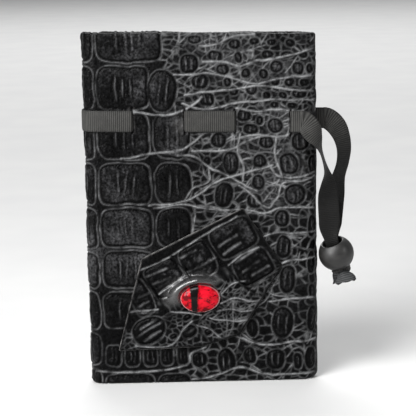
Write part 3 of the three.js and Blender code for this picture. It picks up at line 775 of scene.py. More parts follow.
def plan_point(u, inset):
    """A point of the front half's plan, taken in by inset, and the way outwards from it."""
    fold = np.clip((FOLD_X - u) / HALF_DEPTH, 0, np.pi / 2)
    seam = np.interp(u, SEAM_ARC, SEAM_ANGLE)
    at_fold, at_seam = u < FOLD_X, u > SEAM_X
    depth = HALF_DEPTH - inset
    x = np.select(
        [at_fold, at_seam],
        [FOLD_X - depth * np.sin(fold), SEAM_X + (SEAM_TAPER - inset) * np.sin(seam)],
        u + 0 * inset,
    )
    y = -depth * np.select([at_fold, at_seam], [np.cos(fold), np.cos(seam)], 1.0)
    out_x = np.select([at_fold, at_seam], [-np.sin(fold), np.sin(seam) / SEAM_TAPER], 0.0)
    out_y = np.select([at_fold, at_seam], [-np.cos(fold), -np.cos(seam) / HALF_DEPTH], -1.0)
    length = np.hypot(out_x, out_y)
    return x, y, out_x / length + 0 * inset, out_y / length + 0 * inset


def rim_height(x):
    """The mouth stands a little higher at the fold than at the seam, and isn't dead straight."""
    return TOP - 0.1 - 0.017 * x + 0.18 * noise(x, 0 * x, 17, SEED + 5)


def leather_rows(u):
    """The leather's section, from the middle of the base up the outside, over the hem and down
    inside: arrays of inset, height, share of depth, facing, pattern height and outside or not."""
    edge = BASE_EDGE + (BASE_EDGE_AT_SEAM - BASE_EDGE) * smoothstep(u, SEAM_X, SEAM_U)
    rim = rim_height(plan_point(u, 0 * u)[0]) - RIM_RADIUS
    hem = TOP - HEM_HEIGHT
    flat, quarter, half = 0 * u, np.pi / 2, np.pi
    rows = []

    def row(inset, z, depth, facing, pattern, outside):
        rows.append([flat + value for value in (inset, z, depth, facing, pattern, outside)])

    base = HALF_DEPTH - edge
    for step in np.linspace(0, 1, 9, endpoint=False):
        row(edge, 0, step, 0, edge * (1 - quarter) - (1 - step) * base, 1)
    for angle in np.linspace(0, quarter, 7, endpoint=False):
        pattern = edge - edge * (quarter - angle)
        row(edge * (1 - np.sin(angle)), edge * (1 - np.cos(angle)), 1, angle, pattern, 1)
    wall_rows = int((TOP - BASE_EDGE) / GRID)
    for share in np.linspace(0, 1, wall_rows, endpoint=False):
        z = edge + (rim - edge) * share
        row(0, z, 1, quarter, edge + (TOP - RIM_RADIUS - edge) * share, 1)
    for angle in np.linspace(0, half, 10, endpoint=False):
        turned = TOP - RIM_RADIUS + RIM_RADIUS * angle
        inset, z = RIM_RADIUS * (1 - np.cos(angle)), rim + RIM_RADIUS * np.sin(angle)
        row(inset, z, 1, quarter + angle, turned, 1)
    for share in np.linspace(0, 1, 16):
        turned = TOP - RIM_RADIUS + RIM_RADIUS * half + share * (TOP - RIM_RADIUS - hem)
        row(2 * RIM_RADIUS, rim + (hem - rim) * share, 1, quarter + half, turned, 1)
    for share in (0.35, 0.7, 1):
        row(2 * RIM_RADIUS - share * HEM_LEATHER, hem, 1, 0, hem, 0)
    for share in np.linspace(0.08, 1, 8):
        row(LEATHER, hem + (LEATHER - hem) * share, 1, 3 * quarter, hem, 0)
    for share in (0.6, 0.3, 0):
        row(LEATHER, LEATHER, share, half, 0, 0)
    return np.array(rows).transpose(1, 0, 2)


def slit_marks(x, z):
    """Where the slits cut the leather, and the pulled lips and crushed hide round the ribbon."""
    up = z - RIBBON_Z - RIBBON_SLOPE * x
    cut, lip, crushed = np.zeros(x.shape), np.zeros(x.shape), np.zeros(x.shape)
    tall = 1 - smoothstep(np.abs(up), SLIT_HALF_HEIGHT - 0.4, SLIT_HALF_HEIGHT + 0.3)
    for slit in SLITS_X:
        cut = np.maximum(cut, tall * bell(x - slit, 0.55) ** 2)
        lip = np.maximum(lip, tall * bell(np.abs(x - slit) - 1.0, 0.45))
    under = 1 - smoothstep(np.abs(up), RIBBON_WIDTH / 2 - 0.2, RIBBON_WIDTH / 2 + 1.2)
    ends = (-2 * BAG_HIGH[0], *SLITS_X, 2 * BAG_HIGH[0])
    for low, high in zip(ends[::2], ends[1::2]):
        between = smoothstep(x, low - 1, low) * (1 - smoothstep(x, high, high + 1))
        crushed = np.maximum(crushed, under * between)
    return cut, lip, crushed


def leather_half(name, node, side, hide, material):
    """One face of the bag with its half of the base, fold, seam and hem."""
    raster, relief, veins = hide
    columns = int(round((SEAM_U - FOLD_U) / GRID)) + 1
    u = np.linspace(FOLD_U, SEAM_U, columns)
    inset, z, depth, facing, pattern, outside = leather_rows(u)
    x, y, out_x, out_y = plan_point(u[None, :] + 0 * inset, inset)
    across = (u if side < 0 else 2 * FOLD_U - u)[None, :] + 0 * inset

    warp_x = 0.5 * noise(across, pattern, 8, SEED + 6) + 0.22 * noise(across, pattern, 2.6, SEED + 7)
    warp_z = 0.5 * noise(across, pattern, 8, SEED + 8) + 0.22 * noise(across, pattern, 2.6, SEED + 9)
    height = raster.sample(relief, across + warp_x, pattern + warp_z)
    vein = raster.sample(veins, across + warp_x, pattern + warp_z)

    cut, lip, crushed = slit_marks(u[None, :] + 0 * inset, pattern)
    height = height * (1 - 0.75 * crushed) + 0.2 * lip * (1 - cut) - 1.1 * cut
    vein = vein * (1 - 0.8 * crushed) * (1 - cut)

    from_seam = SEAM_U - u[None, :]
    near_seam = smoothstep(from_seam, 0.3, 3.0)
    pucker = 0.25 * noise(pattern, 0 * pattern, 4.2, SEED + 10)
    pucker += 0.12 * noise(pattern, 0 * pattern, 1.7, SEED + 11)
    swell = 0.30 * noise(across, pattern, 31, SEED + 12) + 0.16 * noise(across, pattern, 12, SEED + 13)
    swell = swell * smoothstep(from_seam, 0, 8) * smoothstep(pattern, 2, 18)
    height = near_seam * height - 0.6 * bell(from_seam, 0.75)
    height += pucker * bell(from_seam, 3) * smoothstep(pattern, 4, 12)
    off_base = smoothstep(facing, 0.9, 1.4)
    pressed = off_base * height + (1 - off_base) * np.minimum(0.5 * height, 0) * depth
    height = np.where(facing < 1.5, pressed, height)
    turned_in = smoothstep(pattern, TOP + 2, TOP + 6) * outside
    height = (height * (1 - 0.5 * turned_in) + swell * (facing > 1.4) * (1 - turned_in)) * outside

    x = x + out_x * height * np.sin(facing)
    y = y * depth + out_y * height * np.sin(facing)
    z = z - height * np.cos(facing)
    y = y * -side
    x[:, 0] = np.minimum(x[:, 0], x[:, 1])
    y[:, [0, -1]] = 0
    points = np.stack([x, y, z], -1)
    faces = grid_faces(len(z), columns, wrap_rows=True)
    for end in (0, columns - 1):
        faces.append([row * columns + end for row in range(len(z))])
    rise = np.clip(height / 0.75 + 0.5, 0, 1) * outside
    raw = (1 - outside) * (z > TOP - HEM_HEIGHT - 0.5)
    streaks = smoothstep(noise(across, pattern, 1.3, SEED + 26), -0.2, 0.6)
    # Bright broken streaks near the seam: worn scratches, with their highlight painted into the colour.
    scratch_highlights = 0.3 * bell(across - 48, 4.5) * bell(pattern - 105, 10) * streaks * rise**2
    smudge = 0.3 * bell(across + 9.6, 2.0) * bell(pattern - 118, 4) * (0.5 + 0.5 * streaks)
    rub_and_highlight = np.clip(0.10 * lip * (1 - cut) + 0.35 * raw + scratch_highlights + smudge, 0, 1)
    values = {"rise": rise, "vein": vein * outside, "rub_and_highlight": rub_and_highlight, "gloss": 0 * rub_and_highlight}
    panel = add_mesh(name, points, faces, material, values)
    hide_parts(node)
    blend_over_mouth(panel)


def blend_over_mouth(piece):
    """Bakes a piece's placement into its mesh."""
    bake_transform(piece)


LINING_INSET = LEATHER + GAP + RIBBON + GAP
LINING = 0.6
LINING_FLOOR = box_mm("lining_back")[0][2]
LINING_TOP = box_mm("lining_back")[1][2]


def add_lining(material):
    """A cotton sack that hangs inside the leather, sewn in under the hem."""
    u = np.linspace(FOLD_U, SEAM_U, 150)
    around = np.concatenate([u, u[::-1][1:-1]])
    side = np.concatenate([np.ones(len(u)), -np.ones(len(u) - 2)])
    inner, inner_floor = LINING_INSET + LINING, LINING_FLOOR + LINING
    rows = [(LINING_INSET + 0.4, LINING_FLOOR, step, -1) for step in np.linspace(0, 1, 5, endpoint=False)]
    for share in np.linspace(0, 1, 100):
        corner = 0.4 * (1 - smoothstep(share, 0, 0.01))
        rows.append((LINING_INSET + corner, LINING_FLOOR + (LINING_TOP - LINING_FLOOR) * share, 1, share))
    for share in np.linspace(1, 0, 100):
        rows.append((inner, inner_floor + (LINING_TOP - inner_floor) * share, 1, share))
    rows += [(inner, inner_floor, step, -1) for step in np.linspace(1, 0, 5)[1:]]
    inset, z, depth, share = (np.array(column)[:, None] + 0 * around for column in zip(*rows))
    loose = np.clip(share, 0, 1) * (1 - smoothstep(share, 0.93, 1.0)) * smoothstep(share, 0.02, 0.2)
    apart = around + 200 * side
    fold = noise(apart, z / 4, 6, SEED + 14) + 0.6 * noise(apart, z / 2, 14, SEED + 15)
    inset = inset + 0.55 * loose * (1 + fold) / 2
    x, y, _, _ = plan_point(around[None, :] + 0 * inset, inset)
    y = y * depth * side
    points = np.stack([x, y, z], -1)
    faces = grid_faces(len(rows), around.size, wrap_columns=True)
    lining = add_mesh("lining", points, faces, material, merge=True)
    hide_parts("lining_back", "lining_front")
    blend_over_mouth(lining)


# --- Ribbon ---

RIB_PITCH = 0.86
RIB_STEP = 0.11
BAND_POINTS = 11


def round_ring(across):
    """Values across a band's face, and back across its other face."""
    return np.concatenate([across, across[::-1][1:-1]])


def band(name, route, material, width=None, cup=0.0, phase=0.0, ragged=None, shade_share=0.0):
    """A closed grosgrain band along a route of even steps: x, y, z, then the width's direction.

    cup bends it across, phase carries the ribs on from another band, ragged frays its first end,
    and its far end is painted darker by the share given last: a painted shade, where the strand hangs in
    shadow.
    """
    centre, across = route[:, :3], unit(route[:, 3:6])
    tangent = unit(np.gradient(centre, axis=0))
    across = unit(across - tangent * np.sum(across * tangent, axis=1, keepdims=True))
    normal = np.cross(tangent, across)
    length = np.arange(len(route)) * RIB_STEP + phase
    half = (np.full(len(route), RIBBON_WIDTH) if width is None else width) / 2
    rib = (0.5 - 0.5 * np.cos(2 * np.pi * length / RIB_PITCH)) ** 0.8
    half = half + 0.06 * (rib - 0.5)
    share = np.sin(np.linspace(-np.pi / 2, np.pi / 2, BAND_POINTS))
    selvedge = 1 - smoothstep(np.abs(share), 0.86, 0.99)
    ring_share, ring_ribs = round_ring(share), round_ring(selvedge)
    ring_side = np.concatenate([np.ones(BAND_POINTS), -np.ones(BAND_POINTS - 2)])
    thick = RIBBON / 2 * (1 - np.abs(ring_share) ** 9) + 0.10 * (rib[:, None] - 0.5) * ring_ribs[None, :]
    ends = np.abs(np.linspace(-1, 1, len(route)))
    thick = thick * (1 - 0.7 * smoothstep(ends, 1 - 2 / len(route), 1))[:, None]
    lift = cup * (ring_share**2 - 0.4)
    along = np.zeros((len(route), ring_share.size))
    if ragged is not None:
        along[0] = -round_ring(np.random.default_rng(ragged).uniform(0, 0.9, BAND_POINTS))
    points = (
        centre[:, None, :]
        + across[:, None, :] * (half[:, None] * ring_share[None, :])[..., None]
        + normal[:, None, :] * (thick * ring_side + lift)[..., None]
        + tangent[:, None, :] * along[..., None]
    )
    ring = ring_share.size
    faces = grid_faces(len(route), ring, wrap_columns=True)
    for start in (0, (len(route) - 1) * ring):
        for k in range(BAND_POINTS - 1):
            low, high = start + k, start + k + 1
            low_back = start + (ring - k) % ring
            high_back = start + (ring - k - 1) % ring
            faces.append(list(dict.fromkeys((low, high, high_back, low_back))))
    # Painted shade: the ribs' colour fades towards the far end, where the strand hangs in shadow.
    unshaded = 1 - shade_share * smoothstep(length, 16, 45)
    shown_ribs = 0.15 + 0.85 * rib[:, None] * (0.4 + 0.6 * ring_ribs[None, :])
    piece = add_mesh(name, points, faces, material, {"rib": unshaded[:, None] * shown_ribs})
    return piece


def ribbon_plan(corners, side):
    """A standing ribbon's route from its plan: its height follows the slope of the slits."""
    route = []
    for x, out in corners:
        y = side * (HALF_DEPTH + out)
        route.append((x, y, RIBBON_Z + RIBBON_SLOPE * x, 0, 0, 1))
    return route


# How far along the ribbon needs to come up through a slit, and how far its middle then lies out.
TUCK = 0.45
LIE = 0.52


def slit_end(x, into):
    """Where a ribbon dives through a slit: points from inside the leather to its face."""
    return [(x - 0.05 * into, -1.2), (x, -0.45), (x + 0.12 * into, 0.25), (x + TUCK * into, LIE)]


def add_stitches(material):
    """The visible stitches, the one that wraps the fold, and the runs inside the leather."""
    for side, body, word in ((-1, "front_panel", "front"), (1, "root", "back")):
        left, right = SLITS_X[1], SLITS_X[2]
        middle = (left + right) / 2
        corners = slit_end(left, 1)
        corners += [(left + 3, LIE + 0.1), (middle, LIE + 0.22), (right - 3, LIE + 0.1)]
        corners += slit_end(right, -1)[::-1]
        stitch = band(f"stitch_{word}", smooth_route(ribbon_plan(corners, side), RIB_STEP), material)
        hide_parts(f"ribbon_stitch_{word}")
        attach(stitch, body)
        inner = -LEATHER - GAP - RIBBON / 2
        for half, start, end in (("left", *SLITS_X[:2]), ("right", *SLITS_X[2:])):
            corners = [(start, inner), ((start + end) / 2, inner - 0.05), (end, inner)]
            run = smooth_route(ribbon_plan(corners, side), RIB_STEP)
            piece = band(f"inside_{half}_{word}", run, material)
            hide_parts(f"ribbon_inside_{half}_{word}")
            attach(piece, body)
    add_fold_stitch(material)


def add_fold_stitch(material):
    """The stitch that wraps the fold, from the front's first slit to the back's."""
    slit = SLITS_X[0]
    corners = slit_end(slit, -1)
    corners += [(slit - 4, LIE + 0.08), ((slit + FOLD_X) / 2, LIE + 0.15), (FOLD_X + 3, LIE + 0.05)]
    route = ribbon_plan(corners, -1)
    radius = HALF_DEPTH + LIE
    for angle in np.linspace(0, np.pi, 9):
        x = FOLD_X - radius * math.sin(angle)
        route.append((x, -radius * math.cos(angle), RIBBON_Z + RIBBON_SLOPE * x, 0, 0, 1))
    route += ribbon_plan(corners[::-1], 1)
    piece = band("stitch_fold", smooth_route(route, RIB_STEP), material)
    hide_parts("ribbon_fold_front", "ribbon_fold_back")
    blend_over_mouth(piece)


# Each free strand's route, as the CAD model has it: x, y, z, then the width's direction. The
# tails run from their cut ends up into the knot.
FRONT_STRAND = (
    (44.6, -7.0, 119.0, 0, 0, 1), (45.8, -7.05, 119.0, 0.05, 0, 1), (47.6, -7.3, 117.5, 0.5, 0, 0.85),
    (49.6, -7.4, 114.2, 0.75, 0.3, 0.6), (51.7, -6.9, 110.3, 0.5, 0.8, 0.3),
    (53.2, -6.5, 105.9, 0.2, 1, 0.1), (54.5, -6.4, 101.5, 0.15, 1, 0), (55.7, -6.3, 96.4, 0.3, 0.95, 0),
    (56.2, -6.0, 91.5, 0.7, 0.7, 0), (56.5, -5.2, 86.0, 0.95, 0.3, 0), (56.9, -4.4, 79.5, 1, 0, 0),
    (57.2, -3.8, 74.0, 1, 0, 0), (57.4, -3.5, 69.0, 1, 0, 0),
)
BACK_STRAND = (
    (55.3, 6.8, 118.8, 0, 0, 1), (56.6, 6.8, 118.8, 0.05, 0, 1), (58.7, 6.7, 117.8, 0.35, 0.1, 0.9),
    (61.6, 6.3, 114.9, 0.65, 0.3, 0.7), (63.8, 5.6, 110.3, 0.8, 0.55, 0.3),
    (64.8, 5.0, 104.9, 0.75, 0.65, 0), (64.2, 4.4, 98.9, 0.65, 0.7, -0.1),
    (62.1, 3.4, 92.0, 0.7, 0.65, 0), (60.3, 1.6, 84.5, 0.95, 0.3, 0), (58.9, -0.3, 76.0, 1, 0, 0),
    (58.2, -1.6, 69.0, 1, 0, 0),
)
FRONT_TAIL = (
    (64.5, -4.8, 45.4, 0.7, 0, 0.7), (64.1, -4.4, 47.1, 0.7, 0, 0.6), (63.7, -3.6, 48.5, 0.8, 0, 0.4),
    (63.2, -2.2, 49.8, 1, 0, 0.2), (62.9, -0.6, 50.9, 1, 0, 0),
)
BACK_TAIL = (
    (61.6, 3.8, 44.4, 0.2, 0.95, -0.2), (61.8, 3.5, 45.8, 0.2, 0.95, -0.2),
    (62.0, 2.9, 47.3, 0.35, 0.9, -0.2), (62.4, 1.9, 49.0, 0.7, 0.6, -0.2), (62.7, 0.8, 50.6, 1, 0, 0),
)
# Stations of both strands along the bore, and how far each lies from its axis.
BORE_STATIONS = (6.2, 1.0, -5.4)
STRAND_APART = 0.7
# Each strand narrows over this run, down to this width where it enters the bead.
NECK_WIDTH = 6
NECK_RUN = 9
# How much darker the strands are painted towards the bead: painted shade.
STRAND_SHADE = 0.88


def nearest_step(route, point):
    """The number of the step of a route that is nearest to a point."""
    return int(np.argmin(np.linalg.norm(route[:, :3] - np.array(point[:3]), axis=1)))


def strand_route(side, past_slit, points):
    """A strand's route from its last slit through the bead to the knot, and its width along it."""
    slit = SLITS_X[3]
    route = ribbon_plan(slit_end(slit, 1) + [(slit + run, LIE + 0.1) for run in past_slit], side)
    axis = BEAD + BORE_OVER * side * STRAND_APART
    bore = [(*(axis + BORE_AXIS * along), *BORE_ACROSS) for along in BORE_STATIONS]
    route = smooth_route(route + list(points) + bore, RIB_STEP)
    neck_at = RIB_STEP * nearest_step(route, bore[0])
    neck = smoothstep(np.arange(len(route)) * RIB_STEP, neck_at - NECK_RUN, neck_at)
    return route, RIBBON_WIDTH + (NECK_WIDTH - RIBBON_WIDTH) * neck


def add_strands(material):
    """The free strands, and the turn with which the back one comes round the seam."""
    route, width = strand_route(-1, (2.4,), FRONT_STRAND)
    front = band("strand_front", route, material, width, cup=0.5, shade_share=STRAND_SHADE)
    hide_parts("ribbon_exit_front", "ribbon_strand_front")
    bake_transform(front)
    front_cord = (front, route)

    route, width = strand_route(1, (5, 10), BACK_STRAND)
    cut = nearest_step(route, BACK_STRAND[4])
    turn = band("strand_back_turn", route[:cut + 1], material, width[:cut + 1], shade_share=STRAND_SHADE)
    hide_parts("ribbon_exit_back", "ribbon_turn_back")
    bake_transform(turn)
    back = band("strand_back", route[cut:], material, width[cut:], phase=cut * RIB_STEP, shade_share=STRAND_SHADE)
    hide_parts("ribbon_strand_back")
    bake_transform(back)
    return front_cord, (back, route[cut:]), turn


def add_knot(material):
    """An overhand knot drawn tight under the bead: one band wound through itself."""
    low, high = box_mm("ribbon_knot")
    middle = (low + high) / 2
    route = []
    for turn in np.linspace(0, 2 * np.pi, 48, endpoint=False):
        ring = 3.0 + 1.0 * math.cos(3 * turn)
        flat = ring * (math.cos(2 * turn) * BORE_ACROSS + math.sin(2 * turn) * BORE_OVER)
        place = middle + flat + 1.3 * math.sin(3 * turn) * BORE_AXIS
        facing = 0.45 * unit(flat) + BORE_AXIS * math.cos(turn)
        route.append((*place, *(facing + 0.7 * BORE_AXIS)))
    route.append(route[0])
    path = smooth_route(route, RIB_STEP)
    knot = band("knot", path, material, np.full(len(path), 3.4), cup=0.4)
    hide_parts("ribbon_knot")
    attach(knot, "tassel")
    return knot


def add_tails(material):
    """The cut ends under the knot, pinched where they leave it and frayed at the cut."""
    pinched = 4.6
    tails = []
    for word, points, seed in (("front", FRONT_TAIL, 3), ("back", BACK_TAIL, 5)):
        route = smooth_route(points, RIB_STEP)
        share = np.linspace(1, 0, len(route))
        width = pinched + (RIBBON_WIDTH - pinched) * smoothstep(share, 0.15, 0.9)
        tail = band(f"tail_{word}", route, material, width, cup=2.2, ragged=seed)
        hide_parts(f"ribbon_tail_{word}")
        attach(tail, "tassel")
        tails.append(tail)
    return tails


def add_bead(material):
    """A turned bead with softened rims; the hand-turned surface is slightly uneven."""
    rim_angle = math.acos((BORE_RADIUS + BORE_CHAMFER) / BEAD_RADIUS)
    rim_height = BEAD_RADIUS * math.sin(rim_angle)
    outside = np.linspace(-rim_angle, rim_angle, 48)
    chamfer = []
    for angle in np.linspace(0.15, 1, 6) * np.pi / 2:
        radius = BORE_RADIUS + BORE_CHAMFER * (1 - math.sin(angle))
        chamfer.append((radius, rim_height - BORE_CHAMFER * (1 - math.cos(angle))))
    profile = [(BEAD_RADIUS * math.cos(angle), BEAD_RADIUS * math.sin(angle)) for angle in outside] + chamfer
    profile += [(BORE_RADIUS, share * (rim_height - BORE_CHAMFER)) for share in np.linspace(1, -1, 14)[1:-1]]
    profile += [(radius, -along) for radius, along in chamfer[::-1]]
    radius, along = np.array(profile).T
    turns = np.linspace(0, 2 * np.pi, 96, endpoint=False)
    around, up = 6 * np.cos(turns)[None, :] + 9, 6 * np.sin(turns)[None, :] + along[:, None]
    uneven = 1 + 0.006 * noise(around, up, 4, SEED + 16)
    ring = (np.cos(turns)[:, None] * BORE_ACROSS + np.sin(turns)[:, None] * BORE_OVER)[None]
    points = BEAD + ring * (radius[:, None] * uneven)[..., None] + along[:, None, None] * BORE_AXIS
    faces = grid_faces(len(profile), turns.size, wrap_rows=True, wrap_columns=True)
    bead = add_mesh("bead_turned", points, faces, material)
    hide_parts("bead")
    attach(bead, "bead")
    return bead


# --- Eyelid patch and eye ---

PATCH = 1.2
PATCH_BACK = -HALF_DEPTH - GAP
PATCH_OUTLINE = (
    (18.3, 80.7), (-27.6, 58.4), (-39.0, 15.9), (-2.3, 17.0), (16.1, 22.2), (26.3, 38.3), (35.8, 54.3),
)
PATCH_TURN = math.radians(26.5)
PATCH_NET_TOP = 38

# Scales of the patch, along and across its own grain: from, to, from, to, squareness.
PATCH_SCALES = (
    (-1.5, 15.2, 43, 60.0, 4.5), (15.8, 31, 43.5, 60.4, 4.5), (32.5, 53, 46, 61.8, 4.5),
    (35.5, 53, 30.5, 45.2, 4.5), (-12.5, -2.5, 40, 58, 4.0), (-19, -3, 27.5, 40.0, 2.3),
    (0.8, 8.6, 21.5, 28.0, 2.2), (-4.6, -0.6, 24.5, 28.0, 2.2), (5.0, 10.0, 29.0, 33.0, 2.2),
    (31, 39.5, 11, 16, 2.3), (10, 14.5, 18.5, 22.5, 2.2),
)
# Its raised wrinkles, each from one point to another.
PATCH_RIDGES = (
    ((-25.3, 50.0), (-16.3, 53.9)), ((-19.7, 42.1), (-8.5, 50.6)), ((-22.5, 46.5), (-14.6, 50)),
    ((-10.1, 58.4), (-2.8, 61.8)), ((-6.8, 51.7), (5.6, 58.4)), ((7.3, 63.5), (15.7, 68.5)),
    ((9.5, 60.1), (17.4, 65.2)), ((14, 55.6), (25.3, 62.4)), ((18, 51.7), (25.3, 56.2)),
    ((22.4, 50), (29.2, 53.9)), ((-29.2, 40.4), (-23.6, 43.3)), ((-30.9, 35.4), (-24.7, 38.8)),
    ((-32.6, 33.1), (-20.8, 33.7)), ((-30.5, 22.0), (-19.5, 29.0)), ((-28.5, 25.8), (-21.5, 30.6)),
    ((-27, 20.3), (-19.3, 25.0)), ((-9.2, 22.6), (-4.8, 25.6)),
)
PATCH_CREASES = (
    ((-14.4, 59.8), (-10.5, 55.4), (-6.3, 51.0)),
    ((0.5, 66.3), (5.7, 60.6), (10.0, 54.5), (15.0, 48.5), (23.0, 41.5)),
    ((-27.5, 50.5), (-23.6, 45.0), (-19.7, 39.5), (-16.3, 33.7)),
)
PATCH_VEINS = (
    ((-28.5, 53.2), (-18.6, 57.2), (-6, 64.6), (4, 70.2), (15.5, 77.2)),
    ((11.5, 54.5), (17, 59), (25, 62.4)),
    ((-20, 42.0), (-13, 47), (-8, 50.5)),
    ((8.5, 41.5), (13, 46), (19, 47.5)),
    ((7.5, 37), (14, 39.5), (21, 38), (26, 38.6)),
    ((6, 33.5), (12, 34.5), (18, 33), (23, 34)),
    ((3, 30.5), (9, 29.5), (15, 28.5), (20, 29)),
    ((-34, 34), (-27, 34.5), (-20.5, 35)),
    ((-15, 34), (-8, 33.6), (-1, 32)),
    ((-31, 18.5), (-22, 17.6), (-14, 19), (-10, 25), (-5, 29)),
    ((-3, 27), (3, 25), (8, 21), (12, 20.5)),
)


def smooth_loop(values, passes):
    for _ in range(passes):
        values = (np.roll(values, 1, axis=0) + 2 * values + np.roll(values, -1, axis=0)) / 4
    return values


def patch_outline_points(step):
    """The outline at even steps, its corners just rounded."""
    corners = np.array(PATCH_OUTLINE)
    points = []
    for a, b in zip(corners, np.roll(corners, -1, axis=0)):
        count = int(round(np.linalg.norm(b - a) / step))
        points.append(a + (b - a) * np.linspace(0, 1, count, endpoint=False)[:, None])
    points = smooth_loop(np.vstack(points), 3)
    wander = 0.12 * noise(points[:, 0], points[:, 1], 3, SEED + 17)
    return points + wander[:, None]


def brow_lift(x, z):
    """How far the leather stands out round the eye: a soft dome with a rolled upper lid."""
    dx, dz = x - EYE[0], z - EYE[2]
    across = (dx + 2) * math.cos(PATCH_TURN) + (dz - 3) * math.sin(PATCH_TURN)
    up = (dz - 3) * math.cos(PATCH_TURN) - (dx + 2) * math.sin(PATCH_TURN)
    dome = 2.3 * np.exp(-((across / 14) ** 2) - (up / 9.5) ** 2)
    share = np.sqrt((dx / EYE_HALF_WIDTH) ** 2 + (dz / EYE_HALF_HEIGHT) ** 2)
    off = (share - 1) * 7.5
    angle = np.arctan2(dz, dx)
    upper = np.clip(np.cos(angle - math.radians(118)), 0, 1) ** 0.8
    roll = (2.0 * upper + 0.25) * np.exp(-(((off - 2.2) / 2.2) ** 2))
    tuck = -0.7 * bell(off, 1.0)
    crease = -0.45 * bell(off - 4.9, 0.8) * upper
    return dome + roll + tuck + crease, off, upper


def up_grain(x, z):
    """How high a point lies in the patch's own grain."""
    return z * math.cos(PATCH_TURN) - x * math.sin(PATCH_TURN)


def patch_relief():
    """The patch's own embossing: its scales, net of veins, wrinkles and creases."""
    rng = np.random.default_rng(SEED + 20)
    big = []
    for along_low, along_high, up_low, up_high, power in PATCH_SCALES:
        along, up = (along_low + along_high) / 2, (up_low + up_high) / 2
        x = along * math.cos(PATCH_TURN) - up * math.sin(PATCH_TURN)
        z = along * math.sin(PATCH_TURN) + up * math.cos(PATCH_TURN)
        big.append(Scale(x, z, along_high - along, up_high - up, PATCH_TURN, power, 0))
    small = fill_between(big, (-42, 40), (12, 84), 2.6, rng)
    small = [scale for scale in small if up_grain(scale.x, scale.z) < PATCH_NET_TOP]
    lines = crossing_lines((-4, 34), (14, 52), 34, rng)
    lines = [[(x, z) for x, z in line if up_grain(x, z) < PATCH_NET_TOP] for line in lines]
    lines = [line for line in lines if len(line) > 2]
    raster = Raster(-44, 42, 10, 86)
    relief, veins = emboss(raster, big, small, PATCH_VEINS, lines, rng)
    creases = bell(line_distance(raster, PATCH_CREASES), 0.75)
    from_ridge = line_distance(raster, PATCH_RIDGES, 5)
    breakup = 0.55 + 0.45 * noise(*np.meshgrid(raster.x, raster.z), 4.5, SEED + 24)
    relief = relief - 0.6 * creases + 0.8 * breakup * bell(from_ridge, 0.7) - 0.35 * bell(from_ridge, 1.9)
    # Ridge tops join the vein mask and are lightened: partly worn finish, partly painted highlight.
    veins = np.maximum(0.8 * veins * (1 - creases), 0.42 * breakup**2 * bell(from_ridge, 0.5))
    return raster, relief, veins


def add_patch(material):
    """The leather patch: glued flat at its cut edges and pinched up round the eye."""
    raster, relief, veins = patch_relief()
    outer = patch_outline_points(0.5)
    columns = len(outer)
    centre = np.array([EYE[0], EYE[2]])
    angles = eye_angle(np.arctan2(outer[:, 1] - centre[1], outer[:, 0] - centre[0]))
    hole = np.array([EYE_HALF_WIDTH, EYE_HALF_HEIGHT]) + 0.25
    inner = centre + hole * np.stack([np.cos(angles), np.sin(angles)], -1)
    shares = np.linspace(0, 1, 84) ** 1.1
    flat = inner[None] + (outer - inner)[None] * shares[:, None, None]
    x, z = flat[..., 0], flat[..., 1]
    warp_x, warp_z = 0.4 * noise(x, z, 6, SEED + 21), 0.4 * noise(x, z, 6, SEED + 22)
    height = raster.sample(relief, x + warp_x, z + warp_z)
    vein = raster.sample(veins, x + warp_x, z + warp_z)
    lift, off, upper = brow_lift(x, z)
    from_edge = (1 - shares[:, None]) * np.linalg.norm(outer - inner, axis=1)[None]
    flatten = smoothstep(from_edge, 0.2, 2.2)
    smooth = 0.95 * np.exp(-((off / 5.5) ** 4)) * smoothstep(upper, 0.15, 0.6)
    height = 1.25 * height * (1 - smooth) * (0.35 + 0.65 * flatten)
    vein = vein * (1 - smooth) * flatten
    rounded = 0.35 * bell(from_edge, 0.45)
    lift = lift * smoothstep(from_edge, 0.3, 8)
    face = PATCH_BACK - PATCH - lift - height + rounded
    back = PATCH_BACK + 0.12
    edge_line = bell(from_edge, 0.32) * (0.6 + 0.4 * noise(x, z, 2, SEED + 23))
    # The cut edge is pale all round, its raw colour; on its upper left, facing the light, it is painted
    # paler still as a painted highlight.
    edge_toward_light = smoothstep(-outer[:, 0] * 0.6 + outer[:, 1] * 0.25, 2.0, 14.0)
    rings, marks = [], []

    def add_ring(plan, depth, *values):
        """One ring of points round the eye, with its rise, vein, rub and painted highlight, and gloss."""
        rings.append(np.stack([plan[:, 0], depth + np.zeros(columns), plan[:, 1]], -1))
        marks.append([value + np.zeros(columns) for value in values])

    for k, plan in enumerate(flat):
        # The brow's smooth roll is lightened a little too: a painted highlight where it faces the light.
        rub_and_highlight = edge_line[k] * (0.15 + 0.85 * edge_toward_light) + 0.09 * smooth[k]
        add_ring(plan, face[k], np.clip(height[k] / 0.5 + 0.55, 0, 1), vein[k], rub_and_highlight, smooth[k])
    for share in (0.35, 0.7, 1.0):
        side = outer + unit(outer - centre) * (0.1 * math.sin(share * math.pi))
        # The cut edge's sides: raw colour, painted paler on the upper left where the light falls.
        rub_and_highlight = 0.25 + 0.75 * edge_toward_light * (1 - 0.5 * share)
        add_ring(side, face[-1] + (back - face[-1]) * share, 0.8, 0, rub_and_highlight, 0)
    for share in (0.75, 0.5, 0.25, 0.0):
        add_ring(inner + (outer - inner) * share, back, 0.2, 0, 0, 0)
    for share in (0.33, 0.66):
        add_ring(inner, back + (face[0] - back) * share, 0.3, 0, 0, 0)
    faces = grid_faces(len(rings), columns, wrap_rows=True, wrap_columns=True)
    values = dict(zip(("rise", "vein", "rub_and_highlight", "gloss"), np.array(marks).transpose(1, 0, 2)))
    patch = add_mesh("patch", np.array(rings), faces, material, values)
    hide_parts("eyelid_patch")
    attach(patch, "front_panel")


